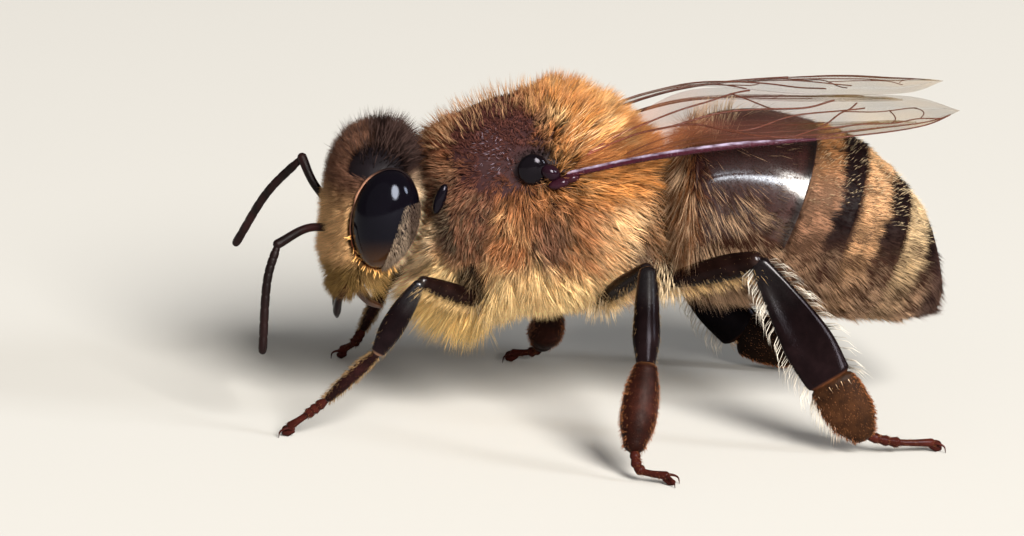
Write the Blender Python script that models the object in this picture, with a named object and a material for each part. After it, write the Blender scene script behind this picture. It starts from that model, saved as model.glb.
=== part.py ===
"""A worker honey bee (Apis mellifera) standing still on the floor, at life size.

The head points to -X, the bee's left side to -Y, and the feet stand on z = 0. All sizes
below are millimetres; the meshes are made in metres. The solids of the body reach out to
the tips of the bee's coat, and thin limbs and wings are half a millimetre thick.

The body is lofted through cross-sections in the plane y = 0, the limbs are tubes along
their joints, each wing is a plate between a front and a rear edge, and neighbouring
pieces are parted by thin cuts of one width.
"""
import math

import bmesh
import bpy
import numpy as np
from mathutils import Matrix, Vector

MM = 0.001                  # metres in a millimetre
GAP = 0.05                  # width of the cut between two neighbouring pieces
THIN = 0.25                 # half of the least thickness of limbs, feelers and wings
BODY_SIDES = 20             # corners of a body cross-section
LIMB_SIDES = 8              # corners of a limb's cross-section

# Body cross-sections from front to back: top (x, z), bottom (x, z), half width.
THORAX = [
    ((-3.50, 6.45), (-3.30, 2.75), 1.40),
    ((-3.20, 6.95), (-3.15, 2.00), 1.90),
    ((-2.40, 7.32), (-2.55, 1.62), 2.28),
    ((-1.35, 7.44), (-1.40, 1.85), 2.45),
    ((-0.35, 7.40), (-0.45, 2.05), 2.42),
    ((0.35, 7.05), (0.25, 2.45), 2.15),
    ((0.80, 6.45), (0.75, 2.85), 1.75),
]
PROPODEUM = [
    ((0.84, 6.35), (0.80, 2.90), 1.70),
    ((1.15, 6.08), (1.10, 2.95), 1.45),
    ((1.42, 5.70), (1.40, 3.35), 1.05),
]
ABDOMEN = [
    ((1.64, 5.70), (1.60, 3.55), 1.05),
    ((2.20, 6.48), (1.85, 2.92), 1.70),
    ((3.45, 6.72), (2.40, 2.52), 1.96),
    ((4.80, 6.42), (3.15, 2.28), 2.08),
    ((5.90, 5.92), (4.30, 2.06), 2.00),
    ((6.85, 4.97), (5.50, 1.90), 1.68),
    ((7.42, 3.98), (6.55, 1.84), 1.22),
    ((7.70, 2.60), (7.60, 1.98), 0.30),
]
SEGMENT_STATIONS = [0, 1, 3, 4, 5, 6, 7]    # stations of ABDOMEN where its plates end
PLATE_STEP = 0.02           # how much wider a plate's rear rim is than its middle

# Head cross-sections from chin to crown: centre (x, z), half depth, half width.
HEAD = [
    ((-5.22, 2.72), 0.30, 0.70),
    ((-5.10, 3.10), 0.55, 1.05),
    ((-4.90, 3.80), 0.85, 1.45),
    ((-4.67, 4.60), 1.02, 1.70),
    ((-4.61, 5.40), 1.02, 1.72),
    ((-4.56, 5.98), 0.92, 1.42),
    ((-4.55, 6.35), 0.64, 0.95),
    ((-4.55, 6.50), 0.25, 0.35),
]
EYE_CENTRE = (-4.43, 1.38, 4.66)
EYE_HALF_SIZE = (0.70, 0.58, 1.10)
EYE_TILT = 13.0             # degrees that the eye's top leans back

NECK_FRONT, NECK_BACK = -3.60, -3.47
NECK_HEIGHT, NECK_RADIUS = 4.65, 0.60
PETIOLE_FRONT, PETIOLE_BACK = 1.47, 1.56
PETIOLE_HEIGHT, PETIOLE_RADIUS = 4.25, 0.50

TEGULA_CENTRE = (-1.15, 2.18, 5.68)
TEGULA_HALF_SIZE = (0.48, 0.27, 0.36)

MANDIBLE = ((-5.40, 0.52, 3.05), (-5.42, 0.22, 2.25))
PROBOSCIS = ((-4.86, 0.0, 3.05), (-4.72, 0.0, 2.45), (-4.55, 0.0, 2.20))
PROBOSCIS_SIZES = (0.34, 0.28, THIN)

# Joints of each limb. Hip, thigh, knee, ankle, heel, last toe joint and toe of a leg:
LEGS = {
    "left_front": ((-2.30, -0.50, 3.35), (-2.36, -0.95, 2.70), (-3.70, -2.10, 3.48),
                   (-4.62, -2.05, 1.93), (-5.70, -1.80, 0.84), (-6.08, -1.72, 0.52),
                   (-6.52, -1.62, 0.19)),
    "left_middle": ((0.05, -0.60, 3.20), (0.19, -1.20, 2.80), (0.98, -3.15, 3.98),
                    (0.87, -4.25, 2.18), (0.58, -5.00, 0.66), (0.68, -5.30, 0.27),
                    (1.28, -5.55, 0.19)),
    "left_hind": ((1.30, -0.55, 3.45), (1.62, -0.98, 3.12), (3.32, -2.62, 3.98),
                  (4.80, -3.60, 1.58), (5.50, -3.62, 0.44), (6.15, -3.58, 0.26),
                  (7.05, -3.45, 0.19)),
    "right_front": ((-2.30, 0.50, 3.35), (-2.42, 0.95, 2.70), (-3.45, 2.60, 3.40),
                    (-4.30, 3.40, 1.90), (-4.78, 3.92, 0.78), (-4.95, 4.05, 0.45),
                    (-5.25, 4.32, 0.19)),
    "right_middle": ((0.05, 0.60, 3.20), (0.10, 1.20, 2.80), (-0.20, 2.80, 3.45),
                     (-0.65, 2.95, 1.36), (-0.84, 3.60, 0.48), (-0.98, 3.75, 0.27),
                     (-1.50, 3.88, 0.19)),
    "right_hind": ((1.30, 0.55, 3.45), (1.52, 1.00, 3.08), (1.60, 3.10, 3.05),
                   (3.58, 2.95, 0.84), (4.90, 2.65, 0.50), (5.18, 2.95, 0.28),
                   (5.42, 3.42, 0.19)),
}
LEG_PIECES = ["coxa", "femur", "tibia", "basitarsus", "tarsus"]
# Half width and half depth at the start, middle and end of each piece, by kind of leg.
LEG_SIZES = {
    "front": {"coxa": (0.46, 0.50, 0.34), "femur": (0.28, 0.36, 0.30), "tibia": (0.26, 0.34, 0.30),
              "basitarsus": (0.27, 0.29, 0.26), "tarsus": (THIN, 0.27, THIN)},
    "middle": {"coxa": (0.46, 0.50, 0.34), "femur": (0.28, 0.34, 0.30), "tibia": (0.26, 0.33, 0.30),
               "basitarsus": (0.32, 0.38, 0.28), "tarsus": (THIN, 0.27, THIN)},
    "hind": {"coxa": (0.42, 0.48, 0.34), "femur": (0.30, 0.38, 0.32), "tibia": (0.30, 0.44, 0.56),
             "basitarsus": (0.52, 0.58, 0.42), "tarsus": (THIN, 0.27, THIN)},
}
FLAT_DEPTH = 0.30           # greatest half depth of the flat pieces of the hind leg

# Feelers: the scape runs from the face to the elbow, the flagellum on to the tip.
FEELERS = {
    "left": ((-5.40, -0.38, 4.22), (-6.05, -0.80, 4.33), (-6.68, -1.20, 4.10),
             (-6.92, -1.36, 3.30), (-7.03, -1.50, 1.86)),
    "right": ((-5.40, 0.38, 4.35), (-5.88, 0.62, 4.95), (-6.12, 0.90, 5.45),
              (-6.88, 1.40, 4.55), (-7.55, 2.00, 3.30)),
}

# Wings: front edge and rear edge from the root to the tip, for the left side (-Y).
FOREWING_FRONT = [(-0.62, -2.05, 5.68), (2.10, -2.78, 6.41), (5.10, -2.80, 6.66),
                  (6.75, -2.24, 6.73), (7.68, -1.38, 6.85)]
FOREWING_REAR = [(-0.30, -1.75, 6.05), (1.90, -0.42, 7.10), (4.60, -0.30, 6.99),
                 (6.70, -0.45, 6.95), (7.68, -1.38, 6.85)]
RIGHT_REAR_DROP = (0.0, 0.10, 0.14, 0.14, 0.0)   # how much lower the right wing's rear edge lies
WING_SPANS, WING_ROWS = 12, 3
# The hindwing lies folded under the forewing: where it starts and ends along that wing
# (in stations), and where its front and rear edges lie across it, at root, middle and tip.
HINDWING_START, HINDWING_END = 0.46, 3.05
HINDWING_FRONT_SHARE = (0.02, 0.05, 0.25)
HINDWING_REAR_SHARE = (0.42, 0.42, 0.42)

COLOURS = {                 # base colour, roughness
    "coat": ((0.42, 0.27, 0.13), 0.9),
    "head_coat": ((0.16, 0.10, 0.06), 0.9),
    "shell": ((0.05, 0.03, 0.02), 0.35),
    "band": ((0.22, 0.13, 0.06), 0.55),
    "eye": ((0.01, 0.01, 0.012), 0.15),
    "leg": ((0.05, 0.02, 0.015), 0.3),
    "wing": ((0.30, 0.20, 0.11), 0.25),
}


def clear_scene():
    """Remove every object of the start-up scene."""
    for item in list(bpy.data.objects):
        bpy.data.objects.remove(item, do_unlink=True)


def make_materials():
    """Make one Principled material for each entry of COLOURS."""
    made = {}
    for name, (colour, roughness) in COLOURS.items():
        material = bpy.data.materials.new(name)
        material.use_nodes = True
        shader = material.node_tree.nodes["Principled BSDF"]
        shader.inputs["Base Color"].default_value = (*colour, 1.0)
        shader.inputs["Roughness"].default_value = roughness
        made[name] = material
    return made


def through(stations, params):
    """Smooth curve through evenly numbered stations (Catmull-Rom), read at params."""
    stations = np.asarray(stations, float)
    padded = np.vstack([2 * stations[0] - stations[1], stations, 2 * stations[-1] - stations[-2]])
    start = np.clip(np.floor(params).astype(int), 0, len(stations) - 2)
    part = (np.asarray(params) - start)[:, None]
    before, here, there, after = (padded[start + step] for step in range(4))
    return 0.5 * (2 * here + (there - before) * part
                  + (2 * before - 5 * here + 4 * there - after) * part ** 2
                  + (3 * here - before - 3 * there + after) * part ** 3)


def add_solid(name, rings, material):
    """Closed solid: rings of equal length bridged in order, with a flat cap at each end."""
    rings = [np.asarray(ring, float) for ring in rings]
    sides = len(rings[0])
    model = bmesh.new()
    corners = [[model.verts.new(Vector(point) * MM) for point in ring] for ring in rings]
    for ring, following in zip(corners, corners[1:]):
        for side in range(sides):
            after = (side + 1) % sides
            model.faces.new((ring[side], ring[after], following[after], following[side]))
    model.faces.new(corners[0][::-1])
    model.faces.new(corners[-1])
    bmesh.ops.recalc_face_normals(model, faces=model.faces)
    return finish(name, model, material)


def finish(name, model, material):
    """Turn a bmesh into a named object whose origin is the middle of its corners."""
    middle = sum((vert.co for vert in model.verts), Vector()) / len(model.verts)
    bmesh.ops.translate(model, verts=model.verts, vec=-middle)
    mesh = bpy.data.meshes.new(name)
    model.to_mesh(mesh)
    model.free()
    mesh.shade_smooth()
    mesh.set_sharp_from_angle(angle=math.radians(40))
    mesh.materials.append(material)
    piece = bpy.data.objects.new(name, mesh)
    piece.location = middle
    bpy.context.scene.collection.objects.link(piece)
    return piece


def trim(piece, point, normal):
    """Cut a piece by a plane (millimetres), keep the side that the normal points away from."""
    model = bmesh.new()
    model.from_mesh(piece.data)
    origin = Vector(point) * MM - piece.location
    everything = model.verts[:] + model.edges[:] + model.faces[:]
    cut = bmesh.ops.bisect_plane(model, geom=everything, plane_co=origin, plane_no=normal,
                                 clear_outer=True, dist=1e-8)
    rim = [item for item in cut["geom_cut"] if isinstance(item, bmesh.types.BMEdge)]
    if rim:
        bmesh.ops.holes_fill(model, edges=rim, sides=0)
    bmesh.ops.recalc_face_normals(model, faces=model.faces)
    model.to_mesh(piece.data)
    model.free()


def oval(count, power=2.0):
    """Corners of a unit superellipse |u|^power + |v|^power = 1, as two arrays u and v."""
    angle = np.linspace(0.0, 2 * math.pi, count, endpoint=False)
    u = np.sign(np.cos(angle)) * np.abs(np.cos(angle)) ** (2 / power)
    v = np.sign(np.sin(angle)) * np.abs(np.sin(angle)) ** (2 / power)
    return u, v


def body_rings(stations, params, power=2.2, widths=1.0):
    """Cross-sections of a trunk: each is an oval between a top and a bottom point."""
    table = [(*top, *bottom, half_width) for top, bottom, half_width in stations]
    values = through(table, params)
    scale = np.broadcast_to(widths, len(values))
    u, v = oval(BODY_SIDES, power)
    rings = []
    for (top_x, top_z, low_x, low_z, half_width), size in zip(values, scale):
        x = (top_x + low_x) / 2 + v * (top_x - low_x) / 2 * size
        z = (top_z + low_z) / 2 + v * (top_z - low_z) / 2 * size
        rings.append(np.stack([x, u * half_width * size, z], axis=1))
    return rings


def make_trunk(materials):
    """Thorax, propodeum and the six plates of the abdomen."""
    pieces = {}
    last = len(THORAX) - 1
    rings = body_rings(THORAX, np.linspace(0, last, 2 * last + 3))
    pieces["thorax"] = add_solid("thorax", rings, materials["coat"])
    last = len(PROPODEUM) - 1
    rings = body_rings(PROPODEUM, np.linspace(0, last, last + 2))
    pieces["propodeum"] = add_solid("propodeum", rings, materials["coat"])
    for number, (start, end) in enumerate(zip(SEGMENT_STATIONS, SEGMENT_STATIONS[1:]), 1):
        name = f"abdomen_segment_{number}"
        steps_out = [np.subtract(ABDOMEN[end][rim], ABDOMEN[start][rim]) for rim in (0, 1)]
        margin = GAP / min(np.hypot(*step) for step in steps_out) * (end - start)
        steps = 6 if number in (2, 6) else 4
        params = np.linspace(start + (margin if number > 1 else 0), end, steps)
        share = (params - start) / (end - start)
        rings = body_rings(ABDOMEN, params, widths=1 - PLATE_STEP * (1 - share ** 3))
        material = materials["shell"] if number in (1, 2, 6) else materials["band"]
        pieces[name] = add_solid(name, rings, material)
    return pieces


def make_disc(name, front, back, height, radius, material):
    """A short round piece along X, from front to back at one height."""
    u, v = oval(16)
    rings = [np.stack([np.full(16, x), u * radius, height + v * radius], axis=1)
             for x in (front, back)]
    return add_solid(name, rings, material)


def make_head(materials):
    """Head capsule: ovals from chin to crown, deeper than the eyes that sit in its sides."""
    table = [(*centre, half_depth, half_width) for centre, half_depth, half_width in HEAD]
    last = len(HEAD) - 1
    u, v = oval(BODY_SIDES, 2.3)
    rings = [np.stack([x + v * half_depth, u * half_width, np.full(BODY_SIDES, z)], axis=1)
             for x, z, half_depth, half_width in through(table, np.linspace(0, last, 2 * last + 1))]
    return add_solid("head", rings, materials["head_coat"])


def make_ellipsoid(name, centre, half_size, tilt, material, grow=0.0):
    """Ellipsoid about a centre, leaned back by tilt degrees, wider all round by grow."""
    model = bmesh.new()
    bmesh.ops.create_uvsphere(model, u_segments=12, v_segments=8, radius=1.0)
    size = [(half + grow) * MM for half in half_size]
    lean = Matrix.Rotation(math.radians(tilt), 4, "Y")
    move = Matrix.Translation(Vector(centre) * MM)
    bmesh.ops.transform(model, matrix=move @ lean @ Matrix.Diagonal((*size, 1.0)), verts=model.verts)
    return finish(name, model, material)


def tube_rings(path, widths, depths, grow=0.0, ends=(True, True)):
    """Ovals along a path, with two smaller ovals past a rounded end. Depth lies nearest to Y."""
    path = [Vector(point) for point in path]
    u, v = oval(LIMB_SIDES)
    rings = []
    for index, point in enumerate(path):
        before = path[max(index - 1, 0)]
        after = path[min(index + 1, len(path) - 1)]
        along = (after - before).normalized()
        side = along.cross(Vector((0, 1, 0))).normalized()
        deep = side.cross(along).normalized()
        width = widths[index] + grow
        depth = depths[index] + grow
        reach = min(width, depth)
        rows = [(0.0, 1.0)]
        if index == 0 and ends[0]:
            rows = [(-0.97 * reach, 0.30), (-0.62 * reach, 0.80), (0.0, 1.0)]
        if index == len(path) - 1 and ends[1]:
            rows = [(0.0, 1.0), (0.62 * reach, 0.80), (0.97 * reach, 0.30)]
        for shift, size in rows:
            centre = point + along * shift
            rings.append([centre + side * (width * size * a) + deep * (depth * size * b)
                          for a, b in zip(u, v)])
    return rings


def mitre(piece, corner, back, ahead, gap=GAP):
    """Cut a piece at a joint by the plane that halves the bend, half a gap before it."""
    corner, back, ahead = Vector(corner), Vector(back), Vector(ahead)
    normal = ((ahead - corner).normalized() - (back - corner).normalized()).normalized()
    trim(piece, corner - normal * gap / 2, normal)


def leg_part(name, leg, number, material, grow=0.0):
    """One piece of a leg, between two of its joints, cut off at the bend on either side."""
    joints = LEGS[leg]
    kind = leg.split("_")[1]
    piece_kind = LEG_PIECES[number]
    start, middle, end = LEG_SIZES[kind][piece_kind]
    first, second = Vector(joints[number]), Vector(joints[number + 1])
    if piece_kind == "tarsus":
        third = Vector(joints[number + 2])
        path = [first, (first + second) / 2, second, (second + third) / 2, third]
        widths = [start, middle, start, middle, end]
    else:
        path = [first, first.lerp(second, 0.35), first.lerp(second, 0.7), second]
        widths = [start, (start + 2 * middle) / 3, (end + 2 * middle) / 3, end]
    depths = [min(width, FLAT_DEPTH) for width in widths] if kind == "hind" else widths
    piece = add_solid(name, tube_rings(path, widths, depths, grow), material)
    gap = GAP - 2 * grow
    if number > 0:
        mitre(piece, first, path[1], joints[number - 1], gap)
    if piece_kind != "tarsus":
        mitre(piece, second, path[-2], joints[number + 2], gap)
    elif grow == 0.0:
        trim(piece, (0, 0, 0), (0, 0, -1))
    return piece


def feeler_part(side, scape, material, grow=0.0):
    """Scape or flagellum of one feeler, mitred at the elbow."""
    joints = FEELERS[side]
    points, beyond = (joints[:3], joints[3]) if scape else (joints[2:], joints[1])
    name = f"{side}_{'scape' if scape else 'flagellum'}"
    path = through(points, np.linspace(0, 2, 4 if scape else 7))
    size = [THIN] * len(path)
    piece = add_solid(name, tube_rings(path, size, size, grow), material)
    if scape:
        mitre(piece, path[-1], path[-2], beyond, GAP - 2 * grow)
    else:
        mitre(piece, path[0], path[1], beyond, GAP - 2 * grow)
    return piece


def wing_edges(hind, right):
    """Front and rear edge of a forewing, or of the hindwing folded under it, laid to the left."""
    rear_edge = np.array(FOREWING_REAR)
    if right:
        rear_edge[:, 2] -= RIGHT_REAR_DROP
    if not hind:
        params = np.linspace(0, len(FOREWING_FRONT) - 1, WING_SPANS + 1)
        return through(FOREWING_FRONT, params), through(rear_edge, params)
    params = np.linspace(HINDWING_START, HINDWING_END, WING_SPANS + 1)
    lead, trail = through(FOREWING_FRONT, params), through(rear_edge, params)
    across = trail - lead
    below = np.cross(across, [1.0, 0.0, 0.0])
    below *= -(2 * THIN + GAP) * np.sign(below[:, 2:]) / np.linalg.norm(below, axis=1)[:, None]
    share = np.linspace(0, 2, WING_SPANS + 1)
    front = through([[value] for value in HINDWING_FRONT_SHARE], share)
    rear = through([[value] for value in HINDWING_REAR_SHARE], share)
    return lead + across * front + below, lead + across * rear + below


def wing(name, hind, mirror, material, grow=0.0):
    """Plate of even thickness between a wing's front and rear edge, for one side."""
    flip = np.array([1.0, mirror, 1.0])
    lead, trail = (edge * flip for edge in wing_edges(hind, mirror < 0))
    thick = THIN + grow
    rings = []
    for step, (ahead, behind) in enumerate(zip(lead, trail)):
        across = behind - ahead
        if step == WING_SPANS:
            across = (trail[-2] - lead[-2]) * 0.25
            ahead = ahead - across / 2
        if step == 0 and grow:
            ahead = ahead + (ahead - lead[1]) * 0.15
        length = np.linalg.norm(across)
        unit = across / length
        along = (lead[min(step + 1, WING_SPANS)] - lead[max(step - 1, 0)])
        normal = np.cross(along, unit)
        normal *= np.sign(normal[2]) / np.linalg.norm(normal)
        shares = np.linspace(0.0, 1.0, WING_ROWS)
        spread = -grow + shares * (length + 2 * grow)
        upper = [ahead + unit * s + normal * thick for s in spread]
        lower = [ahead + unit * s - normal * thick for s in spread[::-1]]
        rings.append(upper + lower)
    return add_solid(name, rings, material)


def make_mandible(side, sign, material, grow=0.0):
    """One jaw, from its hinge at the cheek to its tip at the middle of the mouth."""
    points = [(x, y * sign, z) for x, y, z in MANDIBLE]
    sizes = [0.30 + grow, THIN + grow]
    piece = add_solid(f"{side}_mandible", tube_rings(points, sizes, sizes), material)
    if not grow:
        trim(piece, (0, sign * GAP / 2, 0), (0, -sign, 0))
    return piece


def cut_by(piece, cutters):
    """Take each cutter away from a piece with a Boolean; cutters are left out of the model."""
    for cutter in cutters:
        cutter.hide_render = True
        cutter.display_type = "WIRE"
        change = piece.modifiers.new(cutter.name, "BOOLEAN")
        change.operation = "DIFFERENCE"
        change.solver = "EXACT"
        change.object = cutter


def centre_on_floor():
    """Move all pieces so that the middle of their footprint is at the origin."""
    bpy.context.view_layer.update()
    corners = np.array([item.matrix_world @ Vector(corner) for item in bpy.data.objects
                        if not item.hide_render for corner in item.bound_box])
    middle = (corners.min(axis=0) + corners.max(axis=0)) / 2
    for item in bpy.data.objects:
        item.location.x -= middle[0]
        item.location.y -= middle[1]


def main():
    """Build every piece, cut the body round what sits in it, and centre the bee."""
    clear_scene()
    materials = make_materials()
    coat, shell, leg_colour, wing_colour = (materials[n] for n in ("coat", "shell", "leg", "wing"))
    trunk = make_trunk(materials)
    head = make_head(materials)
    make_disc("neck", NECK_FRONT, NECK_BACK, NECK_HEIGHT, NECK_RADIUS, coat)
    make_disc("petiole", PETIOLE_FRONT, PETIOLE_BACK, PETIOLE_HEIGHT, PETIOLE_RADIUS, shell)

    head_cutters, thorax_cutters, waist_cutters = [], [], []
    for side, sign in (("left", -1), ("right", 1)):
        centre = (EYE_CENTRE[0], EYE_CENTRE[1] * sign, EYE_CENTRE[2])
        dome = (TEGULA_CENTRE[0], TEGULA_CENTRE[1] * sign, TEGULA_CENTRE[2])
        make_ellipsoid(f"{side}_eye", centre, EYE_HALF_SIZE, EYE_TILT, materials["eye"])
        make_ellipsoid(f"{side}_tegula", dome, TEGULA_HALF_SIZE, 0.0, shell)
        make_mandible(side, sign, shell)
        feeler_part(side, True, leg_colour)
        feeler_part(side, False, leg_colour)
        wing(f"{side}_forewing", False, -sign, wing_colour)
        wing(f"{side}_hindwing", True, -sign, wing_colour)
        head_cutters += [
            make_ellipsoid(f"cut_{side}_eye", centre, EYE_HALF_SIZE, EYE_TILT, coat, GAP),
            make_mandible(f"cut_{side}", sign, coat, GAP),
        ]
        scape_cut = feeler_part(side, True, coat, GAP)
        scape_cut.name = f"cut_{side}_scape"
        head_cutters.append(scape_cut)
        thorax_cutters.append(make_ellipsoid(f"cut_{side}_tegula", dome, TEGULA_HALF_SIZE, 0.0, coat, GAP))
        for hind in (False, True):
            cutter = wing(f"cut_{side}_{'hindwing' if hind else 'forewing'}", hind, -sign, coat, GAP)
            thorax_cutters.append(cutter)
            waist_cutters.append(cutter)
    sizes = PROBOSCIS_SIZES
    add_solid("proboscis", tube_rings(PROBOSCIS, sizes, sizes), shell)
    head_cutters.append(add_solid("cut_proboscis", tube_rings(PROBOSCIS, sizes, sizes, GAP), coat))

    for leg in LEGS:
        for number, part in enumerate(LEG_PIECES):
            leg_part(f"{leg}_{part}", leg, number, leg_colour)
        for number in (0, 1):
            cutter = leg_part(f"cut_{leg}_{LEG_PIECES[number]}", leg, number, coat, GAP)
            if "hind" not in leg:
                thorax_cutters.append(cutter)
            if "front" not in leg:
                waist_cutters.append(cutter)
    cut_by(head, head_cutters)
    cut_by(trunk["thorax"], thorax_cutters)
    cut_by(trunk["propodeum"], waist_cutters)
    thigh_cutters = [cutter for cutter in waist_cutters if "hind_femur" in cutter.name]
    for number in (1, 2):
        cut_by(trunk[f"abdomen_segment_{number}"], thigh_cutters)
    centre_on_floor()


main()
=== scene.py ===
"""Looks of a worker honey bee (Apis mellifera): shell, eyes, wings, legs and coat.

Every place below is in the bee's own millimetres: x runs from the head (-) to the tail
(+), y from the bee's left side (-) to its right (+), and z up from the floor. They are
moved to the frame by the place of the neck, which lies on the bee's middle plane.
"""
import math

import bpy
import numpy as np
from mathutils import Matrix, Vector


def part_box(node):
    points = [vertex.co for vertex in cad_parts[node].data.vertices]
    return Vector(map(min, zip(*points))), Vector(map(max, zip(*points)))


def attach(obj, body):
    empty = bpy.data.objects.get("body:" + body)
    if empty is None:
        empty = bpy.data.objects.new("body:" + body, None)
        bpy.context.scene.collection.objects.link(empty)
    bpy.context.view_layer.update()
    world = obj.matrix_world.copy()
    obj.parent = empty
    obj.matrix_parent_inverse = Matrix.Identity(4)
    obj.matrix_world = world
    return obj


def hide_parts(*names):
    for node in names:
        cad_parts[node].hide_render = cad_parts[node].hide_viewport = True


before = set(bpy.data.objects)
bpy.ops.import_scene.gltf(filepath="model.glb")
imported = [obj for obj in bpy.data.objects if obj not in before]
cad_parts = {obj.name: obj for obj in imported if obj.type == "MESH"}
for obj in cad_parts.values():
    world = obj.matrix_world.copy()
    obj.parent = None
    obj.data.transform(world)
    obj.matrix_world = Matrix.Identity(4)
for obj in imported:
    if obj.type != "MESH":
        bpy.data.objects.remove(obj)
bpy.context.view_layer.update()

MM = 0.001                                  # metres in a millimetre
TURN = 2 * math.pi
RNG = np.random.default_rng(11)

NECK_CENTRE = np.array([-3.535, 0.0, 4.65])
neck_low, neck_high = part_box("neck")
PLACE = (np.array(neck_low) + np.array(neck_high)) / 2 / MM - NECK_CENTRE

# ---------------------------------------------------------------- shapes of the bee
# Skin sections: top (x, z), bottom (x, z), half width, from the neck to the waist.
TRUNK_SKIN = [
    ((-3.72, 5.05), (-3.70, 4.20), 0.45),
    ((-3.50, 5.15), (-3.44, 3.95), 0.55),
    ((-3.30, 5.95), (-3.30, 3.15), 1.15),
    ((-2.95, 6.35), (-2.98, 2.85), 1.55),
    ((-2.25, 6.72), (-2.30, 2.72), 1.84),
    ((-1.35, 6.90), (-1.38, 2.62), 1.96),
    ((-0.45, 6.84), (-0.48, 2.68), 1.92),
    ((0.25, 6.45), (0.22, 2.85), 1.70),
    ((0.74, 6.08), (0.70, 3.05), 1.42),
    ((1.10, 5.82), (1.05, 3.25), 1.15),
    ((1.40, 5.45), (1.36, 3.60), 0.85),
    ((1.60, 5.10), (1.58, 3.85), 0.60),
]
ABDOMEN_SKIN = [
    ((1.63, 5.45), (1.62, 3.75), 0.75),
    ((2.20, 6.34), (1.90, 3.12), 1.64),
    ((3.45, 6.58), (2.42, 2.76), 1.84),
    ((4.78, 6.27), (3.18, 2.52), 1.96),
    ((5.84, 5.77), (4.33, 2.28), 1.88),
    ((6.76, 4.84), (5.50, 2.12), 1.56),
    ((7.30, 3.90), (6.50, 2.05), 1.10),
    ((7.56, 2.65), (7.42, 2.16), 0.22),
]
PLATE_ENDS = [0, 1, 3, 4, 5, 6, 7]          # stations where the abdomen's plates end
PLATE_STEPS = (0.004, 0.012, 0.024, 0.026, 0.026, 0.02)    # how much each plate widens to its rim
PLATE_BOW = 0.12                            # how far the rims bow back at the flanks
BELLY_LEVEL, ABDOMEN_HEIGHT = 2.1, 4.2      # where the height on the abdomen is 0, and how far up it is 1
# Head skin sections from chin to crown: centre (x, z), half depth, half width.
HEAD_SKIN = [
    ((-5.24, 2.80), 0.12, 0.42),
    ((-5.17, 2.95), 0.30, 0.68),
    ((-5.05, 3.35), 0.46, 0.96),
    ((-4.88, 3.90), 0.66, 1.22),
    ((-4.68, 4.60), 0.83, 1.42),
    ((-4.60, 5.25), 0.84, 1.42),
    ((-4.54, 5.78), 0.70, 1.18),
    ((-4.50, 6.08), 0.44, 0.78),
    ((-4.48, 6.20), 0.16, 0.30),
]
EYE_CENTRE = np.array([-4.43, 1.36, 4.66])
EYE_HALF = np.array([0.69, 0.57, 1.08])
EYE_TILT = math.radians(13.0)
OCELLI = ((-4.86, 0.0, 6.00), (-4.34, -0.52, 5.99), (-4.34, 0.52, 5.99))
OCELLUS_HALF = (0.12, 0.12, 0.10)

# Joints of the legs: hip, thigh, knee, ankle, heel, last toe joint and toe.
LEGS = {
    "left_front": ((-2.30, -0.50, 3.35), (-2.36, -0.95, 2.70), (-3.70, -2.10, 3.48),
                   (-4.62, -2.05, 1.93), (-5.70, -1.80, 0.84), (-6.08, -1.72, 0.52),
                   (-6.52, -1.62, 0.19)),
    "left_middle": ((0.05, -0.60, 3.20), (0.19, -1.20, 2.80), (0.98, -3.15, 3.98),
                    (0.87, -4.25, 2.18), (0.58, -5.00, 0.66), (0.68, -5.30, 0.27),
                    (1.28, -5.55, 0.19)),
    "left_hind": ((1.30, -0.55, 3.45), (1.62, -0.98, 3.12), (3.32, -2.62, 3.98),
                  (4.80, -3.60, 1.58), (5.50, -3.62, 0.44), (6.15, -3.58, 0.26),
                  (7.05, -3.45, 0.19)),
    "right_front": ((-2.30, 0.50, 3.35), (-2.42, 0.95, 2.70), (-3.45, 2.60, 3.40),
                    (-4.30, 3.40, 1.90), (-4.78, 3.92, 0.78), (-4.95, 4.05, 0.45),
                    (-5.25, 4.32, 0.19)),
    "right_middle": ((0.05, 0.60, 3.20), (0.10, 1.20, 2.80), (-0.20, 2.80, 3.45),
                     (-0.65, 2.95, 1.36), (-0.84, 3.60, 0.48), (-0.98, 3.75, 0.27),
                     (-1.50, 3.88, 0.19)),
    "right_hind": ((1.30, 0.55, 3.45), (1.52, 1.00, 3.08), (1.60, 3.10, 3.05),
                   (3.58, 2.95, 0.84), (4.90, 2.65, 0.50), (5.18, 2.95, 0.28),
                   (5.42, 3.42, 0.19)),
}
LEG_PIECES = ["coxa", "femur", "tibia", "basitarsus", "tarsus"]
# Half widths of the hard pieces of a leg at five even places from its start to its end.
COXA_WIDTHS = (0.34, 0.38, 0.36, 0.30, 0.18)
LEG_WIDTHS = {
    "front": {"coxa": COXA_WIDTHS, "femur": (0.15, 0.19, 0.20, 0.18, 0.14),
              "tibia": (0.13, 0.21, 0.25, 0.25, 0.17), "basitarsus": (0.10, 0.14, 0.14, 0.13, 0.10)},
    "middle": {"coxa": COXA_WIDTHS, "femur": (0.14, 0.19, 0.21, 0.19, 0.16),
               "tibia": (0.19, 0.24, 0.27, 0.29, 0.21), "basitarsus": (0.26, 0.35, 0.38, 0.37, 0.25)},
    "hind": {"coxa": COXA_WIDTHS, "femur": (0.17, 0.24, 0.28, 0.28, 0.22),
             "tibia": (0.22, 0.34, 0.46, 0.54, 0.50), "basitarsus": (0.50, 0.54, 0.53, 0.48, 0.30)},
}
HIND_DEPTH = 0.19                           # half thickness of the flat hind shin and heel
DISH_DEPTH = 0.85                           # share of it by which the hind shin's bowl sinks in
TOE_RADIUS = 0.115
TOE_MARKS = (0.03, 0.18, 0.32, 0.46, 0.94)  # where the toe joints begin and end, in shares of the foot
TOE_GAP = 0.02                              # between one toe joint and the next
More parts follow.
